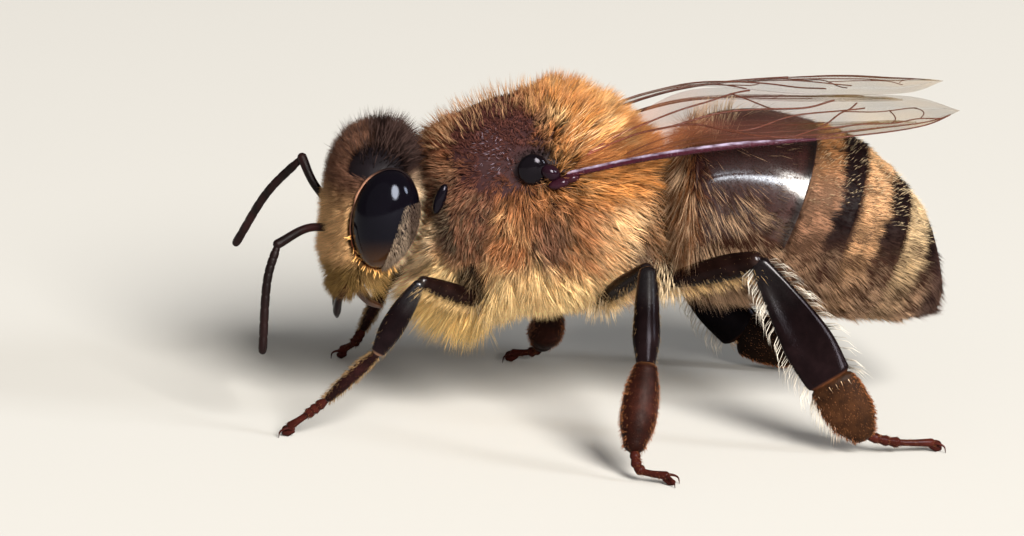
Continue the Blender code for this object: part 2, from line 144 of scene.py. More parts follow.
SOLE_LEVEL = 0.004                          # least height of a toe over the floor
# Claws and pad from the end of the foot: reach ahead, spread to the side and rise.
CLAW_POINTS = ((0.0, 0.0, 0.0), (0.12, 0.09, 0.03), (0.25, 0.15, -0.03), (0.28, 0.16, -0.165))
PAD_POINTS = ((0.0, 0.0, -0.05), (0.12, 0.0, -0.09), (0.2, 0.0, -0.10))
PAD_SIZES = np.array([0.05, 0.09, 0.06])

# Places along each feeler: the first three on the scape, and the last three on the flagellum.
FEELERS = {
    "left": ((-5.40, -0.38, 4.22), (-6.05, -0.80, 4.33), (-6.68, -1.20, 4.10),
             (-6.92, -1.36, 3.30), (-7.03, -1.50, 1.86)),
    "right": ((-5.40, 0.38, 4.35), (-5.88, 0.62, 4.95), (-6.12, 0.90, 5.45),
              (-6.88, 1.40, 4.55), (-7.55, 2.00, 3.30)),
}
FEELER_RADIUS = 0.095
FLAGELLUM_JOINTS = 10

# Front and rear edge of the left forewing, from root to tip.
FOREWING_FRONT = [(-0.62, -2.05, 5.68), (2.10, -2.78, 6.41), (5.10, -2.80, 6.66),
                  (6.75, -2.24, 6.73), (7.68, -1.38, 6.85)]
FOREWING_REAR = [(-0.30, -1.75, 6.05), (1.90, -0.42, 7.10), (4.60, -0.30, 6.99),
                 (6.70, -0.45, 6.95), (7.68, -1.38, 6.85)]
RIGHT_REAR_DROP = (0.0, 0.10, 0.14, 0.14, 0.0)   # how much lower the right wing's rear edge lies
HINDWING_START, HINDWING_END = 0.46, 3.05   # along the forewing, in its stations
# Places of the hindwing's edges across the forewing, from its root to its tip.
HINDWING_FRONT_SHARE = (0.28, 0.34, 0.50)
HINDWING_REAR_SHARE = (0.62, 0.66, 0.60)
HINDWING_DROP = 0.30                        # how far under the forewing it lies

# ---------------------------------------------------------------- camera
CAMERA_TARGET = np.array([-1.634, 0.877, 2.950])
CAMERA_AZIMUTH, CAMERA_ELEVATION = -3.0, 15.0   # degrees from the bee's left side, and upwards
CAMERA_DISTANCE = 122.34                    # from the target, in the bee's millimetres
CAMERA_LENS = 200.0                         # focal length in millimetres


# ---------------------------------------------------------------- small helpers
def through(stations, params):
    """Smooth curve through evenly numbered stations (Catmull-Rom), read at params."""
    stations = np.asarray(stations, float)
    params = np.asarray(params, float)
    padded = np.vstack([2 * stations[0] - stations[1], stations, 2 * stations[-1] - stations[-2]])
    start = np.clip(np.floor(params).astype(int), 0, len(stations) - 2)
    part = (params - start)[..., None]
    before, here, there, after = (padded[start + step] for step in range(4))
    return 0.5 * (2 * here + (there - before) * part
                  + (2 * before - 5 * here + 4 * there - after) * part ** 2
                  + (3 * here - before - 3 * there + after) * part ** 3)


def unit(vectors):
    """Vectors scaled to length one."""
    return vectors / np.maximum(np.linalg.norm(vectors, axis=-1, keepdims=True), 1e-9)


def ease(low, high, value):
    """0 below low, 1 above high, and a smooth S between them."""
    part = np.clip((value - low) / (high - low), 0.0, 1.0)
    return part * part * (3 - 2 * part)


def blend(first, second, share):
    """Colours or vectors mixed by a share from 0 to 1 for each row."""
    return np.asarray(first) + (np.asarray(second) - np.asarray(first)) * np.asarray(share)[..., None]


def leaned(x, z, lean):
    """x and z turned about the Y axis by an angle, so that what is above moves towards +X."""
    cos, sin = math.cos(lean), math.sin(lean)
    return x * cos + z * sin, z * cos - x * sin


def ripple(points, size, seed):
    """Smooth pseudo-random vectors over space: six sine waves of about one size, summed."""
    source = np.random.default_rng(seed)
    waves = source.normal(size=(6, 3)) * TURN / size / 1.7
    phases = source.uniform(0, TURN, (6, 3))
    total = np.zeros_like(points)
    for wave, phase in zip(waves, phases):
        total += np.sin((points @ wave)[:, None] + phase)
    return total / 3.0


# ---------------------------------------------------------------- meshes
def build_mesh(name, verts, faces, material, tints=None, uv=None):
    """Object from points in the bee's millimetres and arrays of quads or triangles."""
    mesh = bpy.data.meshes.new(name)
    corners = np.concatenate([block.ravel() for block in faces])
    sizes = np.concatenate([np.full(len(block), block.shape[1]) for block in faces])
    mesh.vertices.add(len(verts))
    mesh.vertices.foreach_set("co", ((verts + PLACE) * MM).astype(np.float32).ravel())
    mesh.loops.add(len(corners))
    mesh.loops.foreach_set("vertex_index", corners.astype(np.int32))
    mesh.polygons.add(len(sizes))
    mesh.polygons.foreach_set("loop_start", np.concatenate([[0], np.cumsum(sizes)[:-1]]).astype(np.int32))
    mesh.polygons.foreach_set("use_smooth", np.full(len(sizes), True))
    mesh.update(calc_edges=True)
    mesh.validate()
    if tints is not None:
        layer = mesh.color_attributes.new("tint", "FLOAT_COLOR", "POINT")
        rgba = np.ones((len(verts), 4), np.float32)
        rgba[:, :3] = tints
        layer.data.foreach_set("color", rgba.ravel())
    if uv is not None:
        layer = mesh.uv_layers.new(name="OFBake")
        layer.data.foreach_set("uv", uv[corners].astype(np.float32).ravel())
    mesh.materials.append(material)
    piece = bpy.data.objects.new(name, mesh)
    bpy.context.scene.collection.objects.link(piece)
    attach(piece, "root")
    return piece


def add_layer(piece, name, values):
    """One number for each point of a piece, for its material to read by name."""
    layer = piece.data.attributes.new(name, "FLOAT", "POINT")
    layer.data.foreach_set("value", values.astype(np.float32))


def grid_quads(rows, columns):
    """Quads between neighbouring rows of a grid whose last column meets the first."""
    row = np.arange(rows - 1)[:, None] * columns
    column = np.arange(columns)[None, :]
    after = (column + 1) % columns
    corners = [row + column, row + after, row + columns + after, row + columns + column]
    return np.stack([corner.ravel() for corner in corners], axis=1)


def closed_surface(points):
    """Points (rows, columns, 3) made a closed body: quads, and a pole fan over each end row.

    The faces are turned outwards, which is where the body's signed volume is above zero.
    """
    rows, columns = points.shape[:2]
    verts = np.concatenate([points.reshape(-1, 3), points[:1].mean(axis=1), points[-1:].mean(axis=1)])
    quads = grid_quads(rows, columns)
    ring = np.arange(columns)
    after = (ring + 1) % columns
    base, last = (rows - 1) * columns, rows * columns
    near = np.stack([after, ring, np.full(columns, last)], axis=1)
    far = np.stack([base + ring, base + after, np.full(columns, last + 1)], axis=1)
    middle = verts.mean(axis=0)
    volume = 0.0
    for block in (quads, near, far):
        first, second, third = (verts[block[:, corner]] - middle for corner in range(3))
        volume += float(np.einsum("ij,ij->i", np.cross(first, second), third).sum())
    if volume < 0:
        quads, near, far = quads[:, ::-1], near[:, ::-1], far[:, ::-1]
    return verts, [quads, np.concatenate([near, far])]


def join_surfaces(parts):
    """Several (verts, faces) bodies as one list of points and one list of face blocks."""
    verts, blocks, count = [], [], 0
    for part_verts, part_faces in parts:
        verts.append(part_verts)
        blocks += [block + count for block in part_faces]
        count += len(part_verts)
    return np.concatenate(verts), blocks


# ---------------------------------------------------------------- surfaces of the body
def section_oval(turn, power):
    """Superellipse |a|^power + |b|^power = 1 at a share of a full turn."""
    cos, sin = np.cos(turn * TURN), np.sin(turn * TURN)
    return np.sign(cos) * np.abs(cos) ** (2 / power), np.sign(sin) * np.abs(sin) ** (2 / power)


def trunk_surface(stations, along, turn, power=2.15, size=1.0):
    """Oval between the top and the bottom point at a place along the stations."""
    table = [(*top, *bottom, half) for top, bottom, half in stations]
    top_x, top_z, low_x, low_z, half = np.moveaxis(through(table, along), -1, 0)
    side, rise = section_oval(turn, power)
    x = (top_x + low_x) / 2 + rise * (top_x - low_x) / 2 * size
    z = (top_z + low_z) / 2 + rise * (top_z - low_z) / 2 * size
    return np.stack([x, side * half * size, z], axis=-1)


def trunk_skin(along, turn):
    """Neck, thorax and waist; along is 0 at the head and 1 at the abdomen.

    The rear lobe of the back rises in a rounded ridge behind a narrow groove.
    """
    along = along * (len(TRUNK_SKIN) - 1)
    points = trunk_surface(TRUNK_SKIN, along, turn)
    x, z = points[..., 0], points[..., 2]
    high = ease(5.4, 6.4, z)
    scutellum = np.exp(-((x - 0.22) / 0.22) ** 2) * 0.10 - np.exp(-((x + 0.12) / 0.07) ** 2) * 0.07
    points[..., 2] += high * scutellum
    return points


def abdomen_station(along):
    """Place along the abdomen, from 0 to 1, as a place along its stations."""
    return along * (len(ABDOMEN_SKIN) - 1)


def abdomen_plate(station):
    """Number of the plate at a station, from 0, and the share of that plate in front of it."""
    ends = np.array(PLATE_ENDS)
    plate = np.clip(np.searchsorted(ends, station, side="right") - 1, 0, 5)
    return plate, (station - ends[plate]) / (ends[plate + 1] - ends[plate])


def abdomen_height(points):
    """Height on the abdomen: 0 at its belly and about 1 at the top of its back."""
    return (points[:, 2] - BELLY_LEVEL) / ABDOMEN_HEIGHT


def abdomen_skin(along, turn):
    """Six plates in a row; each one widens to its rear rim, which stands over the next.

    The rims bow towards the tail at the flanks by PLATE_BOW, and not at the body's ends.
    """
    station = abdomen_station(along)
    plate, share = abdomen_plate(station)
    size = 1 - np.array(PLATE_STEPS)[plate] * (1 - share ** 1.5)
    points = trunk_surface(ABDOMEN_SKIN, station, turn, size=size)
    rise = np.sin(turn * TURN)
    points[..., 0] += PLATE_BOW * (1 - rise ** 2) * ease(0.8, 2.5, station) * ease(6.9, 5.6, station)
    return points


def head_skin(along, turn):
    """Head capsule; along is 0 at the chin and 1 at the crown, turn 0 on the right side.

    The mouth shield swells forward on the lower face, by a bell curve of its height.
    """
    along = along * (len(HEAD_SKIN) - 1)
    table = [(*centre, depth, half) for centre, depth, half in HEAD_SKIN]
    x, z, depth, half = np.moveaxis(through(table, along), -1, 0)
    side, rise = section_oval(turn, 2.25)
    front = np.clip(-rise, 0, 1)
    shield = np.exp(-((z - 3.55) / 0.42) ** 2) * ease(0.75, 1.0, front)
    return np.stack([x + rise * depth - 0.07 * shield, side * half, z], axis=-1)


def eye_skin(side):
    """Surface of one eye: an ellipsoid, a little wider above, leaned back at the top."""
    sign = -1 if side == "left" else 1

    def surface(along, turn):
        """Rings of latitude, from the lower pole at 0 to the upper one at 1."""
        height = -np.cos(along * math.pi)
        ring = np.sin(along * math.pi)
        wide = 1 + 0.10 * height
        x, z = leaned(np.cos(turn * TURN) * ring * EYE_HALF[0] * wide, height * EYE_HALF[2], EYE_TILT)
        y = np.sin(turn * TURN) * ring * EYE_HALF[1]
        return np.stack([x, y, z], axis=-1) + EYE_CENTRE * (1, sign, 1)
    return surface


def eye_outline(angle, margin, outward):
    """Points on the widest outline of an eye, widened by a margin, about the eye's centre."""
    half_x, half_z = EYE_HALF[0] + margin, EYE_HALF[2] + margin
    x, z = leaned(np.cos(angle) * half_x, np.sin(angle) * half_z, EYE_TILT)
    return np.stack([x, np.full(len(angle), outward), z], axis=1)


def sample_grid(surface, rows, columns):
    """Surface read at even columns, and at a number of even rows or at the rows given."""
    along = np.linspace(0.0, 1.0, rows) if np.ndim(rows) == 0 else rows
    turn = np.arange(columns) / columns
    return surface(*np.meshgrid(along, turn, indexing="ij"))


def surface_normals(surface, along, turn, outward_from):
    """Points and outward normals, from the cross product of small steps both ways."""
    step = 2e-3
    low, high = np.clip(along - step, 0, 1), np.clip(along + step, 0, 1)
    across = surface(high, turn) - surface(low, turn)
    around = surface(along, turn + step) - surface(along, turn - step)
    points = surface(along, turn)
    normals = unit(np.cross(across, around))
    flip = np.sign(np.einsum("ij,ij->i", normals, points - outward_from(points)))
    return points, normals * np.where(flip == 0, 1, flip)[:, None]


# ---------------------------------------------------------------- colours (linear)
# Share of each plate, from its front, that bears a pale felt band, and how strong it is.
BAND_ENDS = (0.0, 0.0, 0.42, 0.50, 0.56, 0.0)
BAND_STRENGTHS = (0.0, 0.0, 1.0, 1.0, 1.0, 0.0)


def abdomen_band(points, station):
    """Mask of the pale felt bands at a place along the abdomen's stations, and the plate.

    A band covers the front of its plate; the third plate's reaches further back low down.
    """
    plate, share = abdomen_plate(station)
    wobble = ripple(points, 0.35, 5)[:, 0] * 0.05
    edge = np.array(BAND_ENDS)[plate] + 0.12 * (plate == 2) * ease(5.9, 5.2, points[:, 2])
    band = (1 - ease(edge - 0.05, edge + 0.09, share + wobble)) * np.array(BAND_STRENGTHS)[plate]
    return band, plate


def abdomen_tint(points, along):
    """Markings of the abdomen: dark plates with a pale felt band across the front of each.

    The first two plates are redder, and the second ends in a painted highlight line, then a black one.
    """
    station = abdomen_station(along)
    band, plate = abdomen_band(points, station)
    height = abdomen_height(points)
    flank = ease(0.10, 0.45, height)
    dark = blend((0.040, 0.016, 0.009), (0.006, 0.003, 0.003), ease(0.25, 0.6, height))
    front = blend((0.040, 0.014, 0.008), (0.020, 0.006, 0.005), ease(0.3, 0.75, height))
    dark = blend(dark, front, plate <= 1)
    black_line = ease(2.86, 2.93, station) * ease(3.0, 2.99, station)
    # painted highlight: a lighter line on the skin just before the second plate's black rim
    painted_highlight_line = ease(2.72, 2.80, station) * ease(2.90, 2.84, station)
    dark = dark * (1 - 0.75 * np.clip(black_line - 0.5 * painted_highlight_line, -1, 1))[:, None]
    pale = blend((0.05, 0.024, 0.013), (0.12, 0.058, 0.028), ease(0.55, 0.85, height))
    return blend(dark, pale, band * (0.2 + 0.8 * flank))


def trunk_tint(points):
    """Shell of the thorax: brown under the fur, black at the wing roots, hips and waist."""
    tint = blend((0.032, 0.013, 0.013), (0.10, 0.046, 0.022), ease(5.2, 3.6, points[:, 2]) * 0.7)
    black = np.maximum(near(points, (-1.20, 2.0, 5.85), (0.66, 0.8, 0.45)), ease(0.3, 0.9, points[:, 0]))
    black = np.maximum(black, near(points, (-2.50, 1.45, 3.40), (0.52, 0.8, 0.58)))
    return blend(tint, (0.012, 0.006, 0.006), black)


def trunk_gloss(points):
    """The thorax shines only on the worn spot of its side."""
    return 0.25 * near(points, (-2.35, 1.7, 6.05), (0.40, 0.9, 0.38))


def abdomen_gloss(points, along):
    """The first two plates shine on the back and down to the flank, save at the first one's rim."""
    station = abdomen_station(along)
    dull = ease(0.80, 0.92, station) * ease(1.15, 1.03, station)
    return 0.95 * (station < 3) * ease(3.4, 4.4, points[:, 2]) * (1 - dull)


def head_tint(points):
    """Shell of the head: black above, olive brown on the cheeks and the mouth shield."""
    return blend((0.060, 0.038, 0.012), (0.006, 0.004, 0.005), ease(3.3, 4.4, points[:, 2]))


def head_gloss(points):
    """The head shines on the crown above each eye."""
    return 0.14 * ease(4.8, 5.4, points[:, 2])


# ---------------------------------------------------------------- materials
def new_material(name, slots):
    """Principled material with its constant values set on the shader's own sockets."""
    material = bpy.data.materials.new(name)
    material.use_nodes = True
    for socket, value in slots.items():
        material.node_tree.nodes["Principled BSDF"].inputs[socket].default_value = value
    return material


def new_node(nodes, kind, values=None, operation=None):
    """Node of a kind, with constant values on its sockets and the operation it does."""
    node = nodes.new(kind)
    if operation:
        node.operation = operation
    for socket, value in (values or {}).items():
        node.inputs[socket].default_value = value
    return node


def attribute_node(nodes, name):
    """Node that reads one of a piece's own attributes."""
    node = nodes.new("ShaderNodeAttribute")
    node.attribute_name = name
    return node


def mottle_group():
    """Shared effect: soft mottling of a colour and fine relief, both in millimetres.

    Two noises read the piece's own coordinates. The patches darken the colour by up to the
    Mottle share and are also given as a mask; the grain is given as a height.
    """
    group = bpy.data.node_groups.new("mottle and relief", "ShaderNodeTree")
    for way, labels in (("INPUT", ("Colour", "Patch Size", "Mottle", "Grain Size")),
                        ("OUTPUT", ("Colour Out", "Mask", "Relief"))):
        for label in labels:
            kind = "NodeSocketColor" if label.startswith("Colour") else "NodeSocketFloat"
            group.interface.new_socket(label, in_out=way, socket_type=kind)
    nodes, link = group.nodes, group.links.new
    inside, outside = nodes.new("NodeGroupInput"), nodes.new("NodeGroupOutput")
    coordinate = nodes.new("ShaderNodeTexCoord")
    mapping = new_node(nodes, "ShaderNodeMapping", {"Scale": (1 / MM,) * 3})
    link(coordinate.outputs["Object"], mapping.inputs["Vector"])

    def noise(size_socket, detail):
        """Noise whose patches have the size given by a socket."""
        invert = new_node(nodes, "ShaderNodeMath", {0: 1.0}, "DIVIDE")
        texture = new_node(nodes, "ShaderNodeTexNoise", {"Detail": detail})
        link(size_socket, invert.inputs[1])
        link(mapping.outputs["Vector"], texture.inputs["Vector"])
        link(invert.outputs["Value"], texture.inputs["Scale"])
        return texture

    patches = noise(inside.outputs["Patch Size"], 4.0)
    grain = noise(inside.outputs["Grain Size"], 3.0)
    spread = new_node(nodes, "ShaderNodeMapRange", {"From Min": 0.3, "From Max": 0.7})
    dim = new_node(nodes, "ShaderNodeMapRange", {"To Min": 1.0})
    darkest = new_node(nodes, "ShaderNodeMath", {0: 1.0}, "SUBTRACT")
    multiply = new_node(nodes, "ShaderNodeVectorMath", None, "SCALE")
    link(patches.outputs["Fac"], spread.inputs["Value"])
    link(spread.outputs["Result"], dim.inputs["Value"])
    link(inside.outputs["Mottle"], darkest.inputs[1])
    link(darkest.outputs["Value"], dim.inputs["To Max"])
    link(inside.outputs["Colour"], multiply.inputs[0])
    link(dim.outputs["Result"], multiply.inputs["Scale"])
    link(multiply.outputs["Vector"], outside.inputs["Colour Out"])
    link(spread.outputs["Result"], outside.inputs["Mask"])
    link(grain.outputs["Fac"], outside.inputs["Relief"])
    return group


MOTTLE = mottle_group()


def finished(name, slots, rough, patch, mottle, grain, relief=0.0, colour=None, gloss=False):
    """Material with mottled colour, fine relief and a roughness that goes with the mottling.

    The colour comes from the tint attribute unless one is given. patch and grain are sizes
    in millimetres, relief is the grain's height, and rough is the roughness of the lightest
    and the darkest patch. With gloss, the gloss attribute says where a clear coat shines,
    a little unevenly.
    """
    material = new_material(name, slots)
    nodes, link = material.node_tree.nodes, material.node_tree.links.new
    shader = nodes["Principled BSDF"]
    effect = nodes.new("ShaderNodeGroup")
    effect.node_tree = MOTTLE
    for socket, value in (("Patch Size", patch), ("Mottle", mottle), ("Grain Size", grain)):
        effect.inputs[socket].default_value = value
    if colour:
        effect.inputs["Colour"].default_value = (*colour, 1.0)
    else:
        link(attribute_node(nodes, "tint").outputs["Color"], effect.inputs["Colour"])
    link(effect.outputs["Colour Out"], shader.inputs["Base Color"])
    roughness = new_node(nodes, "ShaderNodeMapRange", {"To Min": rough[0], "To Max": rough[1]})
    link(effect.outputs["Mask"], roughness.inputs["Value"])
    link(roughness.outputs["Result"], shader.inputs["Roughness"])
    if gloss:
        uneven = new_node(nodes, "ShaderNodeMapRange", {"To Min": 0.45, "From Min": 0.35, "From Max": 0.60})
        weight = new_node(nodes, "ShaderNodeMath", None, "MULTIPLY")
        link(effect.outputs["Relief"], uneven.inputs["Value"])
        link(attribute_node(nodes, "gloss").outputs["Fac"], weight.inputs[0])
        link(uneven.outputs["Result"], weight.inputs[1])
        link(weight.outputs["Value"], shader.inputs["Coat Weight"])
    if relief:
        bump = new_node(nodes, "ShaderNodeBump", {"Distance": relief * MM})
        link(effect.outputs["Relief"], bump.inputs["Height"])
        link(bump.outputs["Normal"], shader.inputs["Normal"])
    return material


SHELL = finished("body shell", {"Specular IOR Level": 0.06, "Coat Roughness": 0.15, "Coat IOR": 1.60},
                 rough=(0.45, 0.6), patch=0.30, mottle=0.35, grain=0.040, relief=0.006, gloss=True)
LEG_SHELL = finished("leg shell", {"Specular Tint": (0.86, 0.82, 1.0, 1.0), "Specular IOR Level": 0.038,
                                   "Coat Roughness": 0.24, "Coat IOR": 1.55,
                                   "Coat Tint": (0.80, 0.84, 1.0, 1.0)},
                     rough=(0.10, 0.18), patch=0.22, mottle=0.35, grain=0.03, relief=0.004, gloss=True)
FEELER_SHELL = finished("feeler shell", {"Specular IOR Level": 0.10},
                        rough=(0.30, 0.45), patch=0.15, mottle=0.3, grain=0.02, relief=0.006)
EYE = finished("compound eye", {"Specular IOR Level": 0.14, "Specular Tint": (0.72, 0.80, 1.0, 1.0)},
               rough=(0.07, 0.10), patch=0.5, mottle=0.25, grain=0.022, relief=0.0008)
ROOT_SHELL = finished("wing root shell", {"Specular IOR Level": 0.14,
                                          "Specular Tint": (0.90, 0.86, 1.0, 1.0)},
                      rough=(0.08, 0.12), patch=0.2, mottle=0.35, grain=0.08, relief=0.005)
HEEL_SHELL = finished("heel shell", {"Specular IOR Level": 0.05},
                      rough=(0.32, 0.48), patch=0.12, mottle=0.5, grain=0.03, relief=0.008)
OCELLUS = finished("ocellus", {"Specular IOR Level": 0.4}, colour=(0.01, 0.008, 0.01),
                   rough=(0.04, 0.06), patch=0.2, mottle=0.1, grain=0.05)
AMBER = finished("tongue", {}, colour=(0.06, 0.022, 0.009),
                 rough=(0.28, 0.4), patch=0.2, mottle=0.4, grain=0.04, relief=0.006)
VEIN = finished("wing vein", {"Specular Tint": (0.92, 0.86, 1.0, 1.0), "Specular IOR Level": 0.20},
                rough=(0.12, 0.24), patch=0.3, mottle=0.3, grain=0.07, relief=0.045)
# Hair: the colour of each hair comes with its mesh, from dark root to pale tip.
COAT = finished("coat", {"Specular IOR Level": 0.06},
                rough=(0.5, 0.6), patch=0.25, mottle=0.15, grain=0.05)
BRISTLE = finished("bristles", {"Specular IOR Level": 0.06},
                   rough=(0.35, 0.45), patch=0.25, mottle=0.15, grain=0.05)


def membrane_material():
    """Wing membrane: clear amber film with fine wrinkles; the film attribute gives its density."""
    slots = {"Specular IOR Level": 0.70, "Thin Film Thickness": 290.0, "Thin Film IOR": 1.40}
    material = finished("wing membrane", slots,
                        rough=(0.12, 0.22), patch=0.9, mottle=0.25, grain=0.16, relief=0.022)
    nodes = material.node_tree.nodes
    density = attribute_node(nodes, "film")
    material.node_tree.links.new(density.outputs["Fac"], nodes["Principled BSDF"].inputs["Alpha"])
    return material


MEMBRANE = membrane_material()


# ---------------------------------------------------------------- skin
# Rows along each surface and columns round it.
TRUNK_GRID, HEAD_GRID, ABDOMEN_COLUMNS = (130, 96), (110, 96), 144
EYE_ROWS, EYE_COLUMNS = np.linspace(0.01, 0.99, 60), 72
RIM_STEPS, RIM_SIDES = 120, 10              # round the eye, and round the tube of its rim


def plate_rows():
    """Rows along the abdomen: dense at each rim, with both sides of every step."""
    share = np.concatenate([[0.0, 0.03, 0.08], np.linspace(0.15, 0.9, 14), [0.96, 0.99, 0.9999]])
    rows = [start + share * (end - start) for start, end in zip(PLATE_ENDS, PLATE_ENDS[1:])]
    return np.concatenate(rows) / (len(ABDOMEN_SKIN) - 1)


def make_skin():
    """One skin for head, trunk and abdomen, marked by the same rules as the coat."""
    trunk = closed_surface(sample_grid(trunk_skin, *TRUNK_GRID))
    abdomen = closed_surface(sample_grid(abdomen_skin, plate_rows(), ABDOMEN_COLUMNS))
    head = closed_surface(sample_grid(head_skin, *HEAD_GRID))
    along = np.concatenate([np.repeat(plate_rows(), ABDOMEN_COLUMNS), [0.0, 1.0]])
    tints = [trunk_tint(trunk[0]), abdomen_tint(abdomen[0], along), head_tint(head[0])]
    gloss = [trunk_gloss(trunk[0]), abdomen_gloss(abdomen[0], along), head_gloss(head[0])]
    verts, faces = join_surfaces([trunk, abdomen, head])
    skin = build_mesh("bee_skin", verts, faces, SHELL, np.concatenate(tints))
    add_layer(skin, "gloss", np.concatenate(gloss))
    plates = [f"abdomen_segment_{number}" for number in range(1, 7)]
    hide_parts("head", "neck", "thorax", "propodeum", "petiole", *plates)


def eye_tint(points):
    """Almost black, browner at the lower end of the eye."""
    return blend((0.0022, 0.0016, 0.0030), (0.060, 0.026, 0.010), ease(4.4, 3.5, points[:, 2]))


def eye_rim(sign):
    """Thin cuticle rim round the eye: a ring of tube just outside its widest outline.

    The tube is widest at the upper front. It is amber along the front, redder low down,
    and black behind.
    """
    ring = eye_outline(np.arange(RIM_STEPS) / RIM_STEPS * TURN, 0.015, 0.0)
    ring = (ring + EYE_CENTRE - (0, 0.03, 0)) * (1, sign, 1)
    outward = unit((ring - ring.mean(axis=0)) * (1, 0, 1))
    turn = np.arange(RIM_SIDES) / RIM_SIDES * TURN
    uneven = ripple(ring, 0.40, 81)[:, 0]
    ahead, high = ring[:, 0] - EYE_CENTRE[0], ring[:, 2]
    wide = 0.014 + 0.028 * ease(0.1, -0.5, ahead) * ease(4.3, 4.8, high) * (0.8 + uneven).clip(0.1, 1.3)
    tube = (np.cos(turn)[None, :, None] * (outward * wide[:, None])[:, None]
            + np.sin(turn)[None, :, None] * np.array([0.0, 0.075, 0.0]))
    front = ease(0.0, -0.5, ahead) * (0.75 + 0.6 * uneven).clip(0.15, 1)
    amber = blend((0.46, 0.23, 0.15), (0.20, 0.055, 0.025), ease(4.9, 4.1, high))
    tints = blend((0.012, 0.007, 0.007), amber, front)
    return ring[:, None] + tube, np.repeat(tints, len(turn), axis=0)


def make_eyes():
    """Both eyes, the rim round each, and the three small eyes on the crown."""
    for side, sign in (("left", -1), ("right", 1)):
        verts, faces = closed_surface(sample_grid(eye_skin(side), EYE_ROWS, EYE_COLUMNS))
        eye = build_mesh(f"{side}_eye_lens", verts, faces, EYE, eye_tint(verts))
        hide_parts(f"{side}_eye")
        points, tints = eye_rim(sign)
        rows, columns = points.shape[:2]
        quads = grid_quads(rows + 1, columns)[:, ::-sign] % (rows * columns)
        rim = build_mesh(f"{side}_eye_rim", points.reshape(-1, 3), [quads], SHELL, tints)
    verts, faces = join_surfaces([closed_surface(ball(centre, OCELLUS_HALF)) for centre in OCELLI])
    ocelli = build_mesh("ocelli", verts, faces, OCELLUS)


# ---------------------------------------------------------------- limbs
def limb_points(path, widths, depths, sides=20, twist=None, cap=5, dish=None):
    """Ovals along a path, closed by rounded ends; the depth lies nearest to the Y axis.

    dish presses the outer face in towards the middle of its width, as a shallow bowl:
    +1 for the face that looks along +Y and -1 for the other.
    """
    path = np.asarray(path, float)
    along = unit(np.gradient(path, axis=0))
    toward = np.array([0.0, 1.0, 0.0]) if twist is None else np.asarray(twist, float)
    side = unit(np.cross(along, toward))
    deep = np.cross(side, along)
    widths, depths = np.broadcast_to(widths, len(path)), np.broadcast_to(depths, len(path))
    bend = np.linspace(0, math.pi / 2, cap, endpoint=False)[1:]
    near_end, far_end = min(widths[0], depths[0]), min(widths[-1], depths[-1])
    centres = np.concatenate([path[0] - along[0] * near_end * np.sin(bend[::-1])[:, None], path,
                              path[-1] + along[-1] * far_end * np.sin(bend)[:, None]])
    scales = np.concatenate([np.cos(bend[::-1]), np.ones(len(path)), np.cos(bend)])[:, None, None]
    rows = np.concatenate([np.zeros(cap - 1, int), np.arange(len(path)), np.full(cap - 1, len(path) - 1)])
    turn = np.arange(sides) / sides * TURN
    across, down = np.cos(turn), np.tile(np.sin(turn), (len(rows), 1))
    if dish is not None:
        outer = np.clip(down * dish, 0, 1)
        bowl = np.sin(np.linspace(0, math.pi, len(rows)))[:, None]
        down = down - dish * outer * (1 - across ** 2) * DISH_DEPTH * bowl
    across = across[None, :, None] * side[rows][:, None] * widths[rows][:, None, None]
    down = down[:, :, None] * deep[rows][:, None] * depths[rows][:, None, None]
    return centres[:, None] + (across + down) * scales


def grid_roots(grid, count):
    """Roots spread over a closed grid: points, normals, place along it and round it (0..1)."""
    rows, columns = grid.shape[:2]
    row, column = RNG.uniform(0, rows - 1.001, count), RNG.uniform(0, columns, count)
    low, left = row.astype(int), column.astype(int) % columns
    high, right = low + 1, (left + 1) % columns
    part, across = (row % 1)[:, None], (column % 1)[:, None]
    points = ((grid[low, left] * (1 - across) + grid[low, right] * across) * (1 - part)
              + (grid[high, left] * (1 - across) + grid[high, right] * across) * part)
    ahead, beside = grid[high, left] - grid[low, left] + 1e-6, grid[low, right] - grid[low, left]
    normals = unit(np.cross(ahead, beside))
    middle = grid[low].mean(axis=1)
    flip = np.sign(np.einsum("ij,ij->i", normals, points - middle))[:, None]
    return points, normals * flip, row / (rows - 1), column / columns


LEG_TINTS = {"coxa": (0.008, 0.003, 0.003), "femur": (0.007, 0.003, 0.0025),
             "tibia": (0.0035, 0.0018, 0.002), "tarsus": (0.032, 0.007, 0.005)}
HEEL_TINTS = {"front": (0.010, 0.003, 0.003), "middle": (0.016, 0.0042, 0.0026),
              "hind": (0.026, 0.010, 0.004)}
JOINT_TINTS = {"front": (0.45, 0.24, 0.15), "middle": (0.45, 0.19, 0.07), "hind": (0.16, 0.055, 0.022)}
KNEE_GLOSS = {"front": 1.0, "middle": 1.0, "hind": 0.4}


def leg_tint(points, piece, share, kind="front"):
    """Leg colours: black-brown, redder towards the feet, with an amber ring at the ankle."""
    base = np.array(HEEL_TINTS[kind] if piece == "basitarsus" else LEG_TINTS[piece])
    mottle = 1 + np.abs(ripple(points, 0.5, 9)[:, :1]) * 0.5
    ring = np.zeros(len(points))
    if piece == "tibia":
        mottle = mottle * (1 + 0.8 * ease(0.45, 0.9, share))[:, None]
        ring = ease(0.92, 0.96, share)
    if piece == "basitarsus":
        mottle = mottle * (0.75 + 0.7 * np.exp(-((share - 0.5) / 0.22) ** 2))[:, None]
        ring = ease(0.07, 0.02, share)
    if kind == "hind" and piece == "femur":
        ring = ease(0.80, 0.97, share) * 0.04
    return blend(base * mottle, JOINT_TINTS[kind], ring * 0.75)


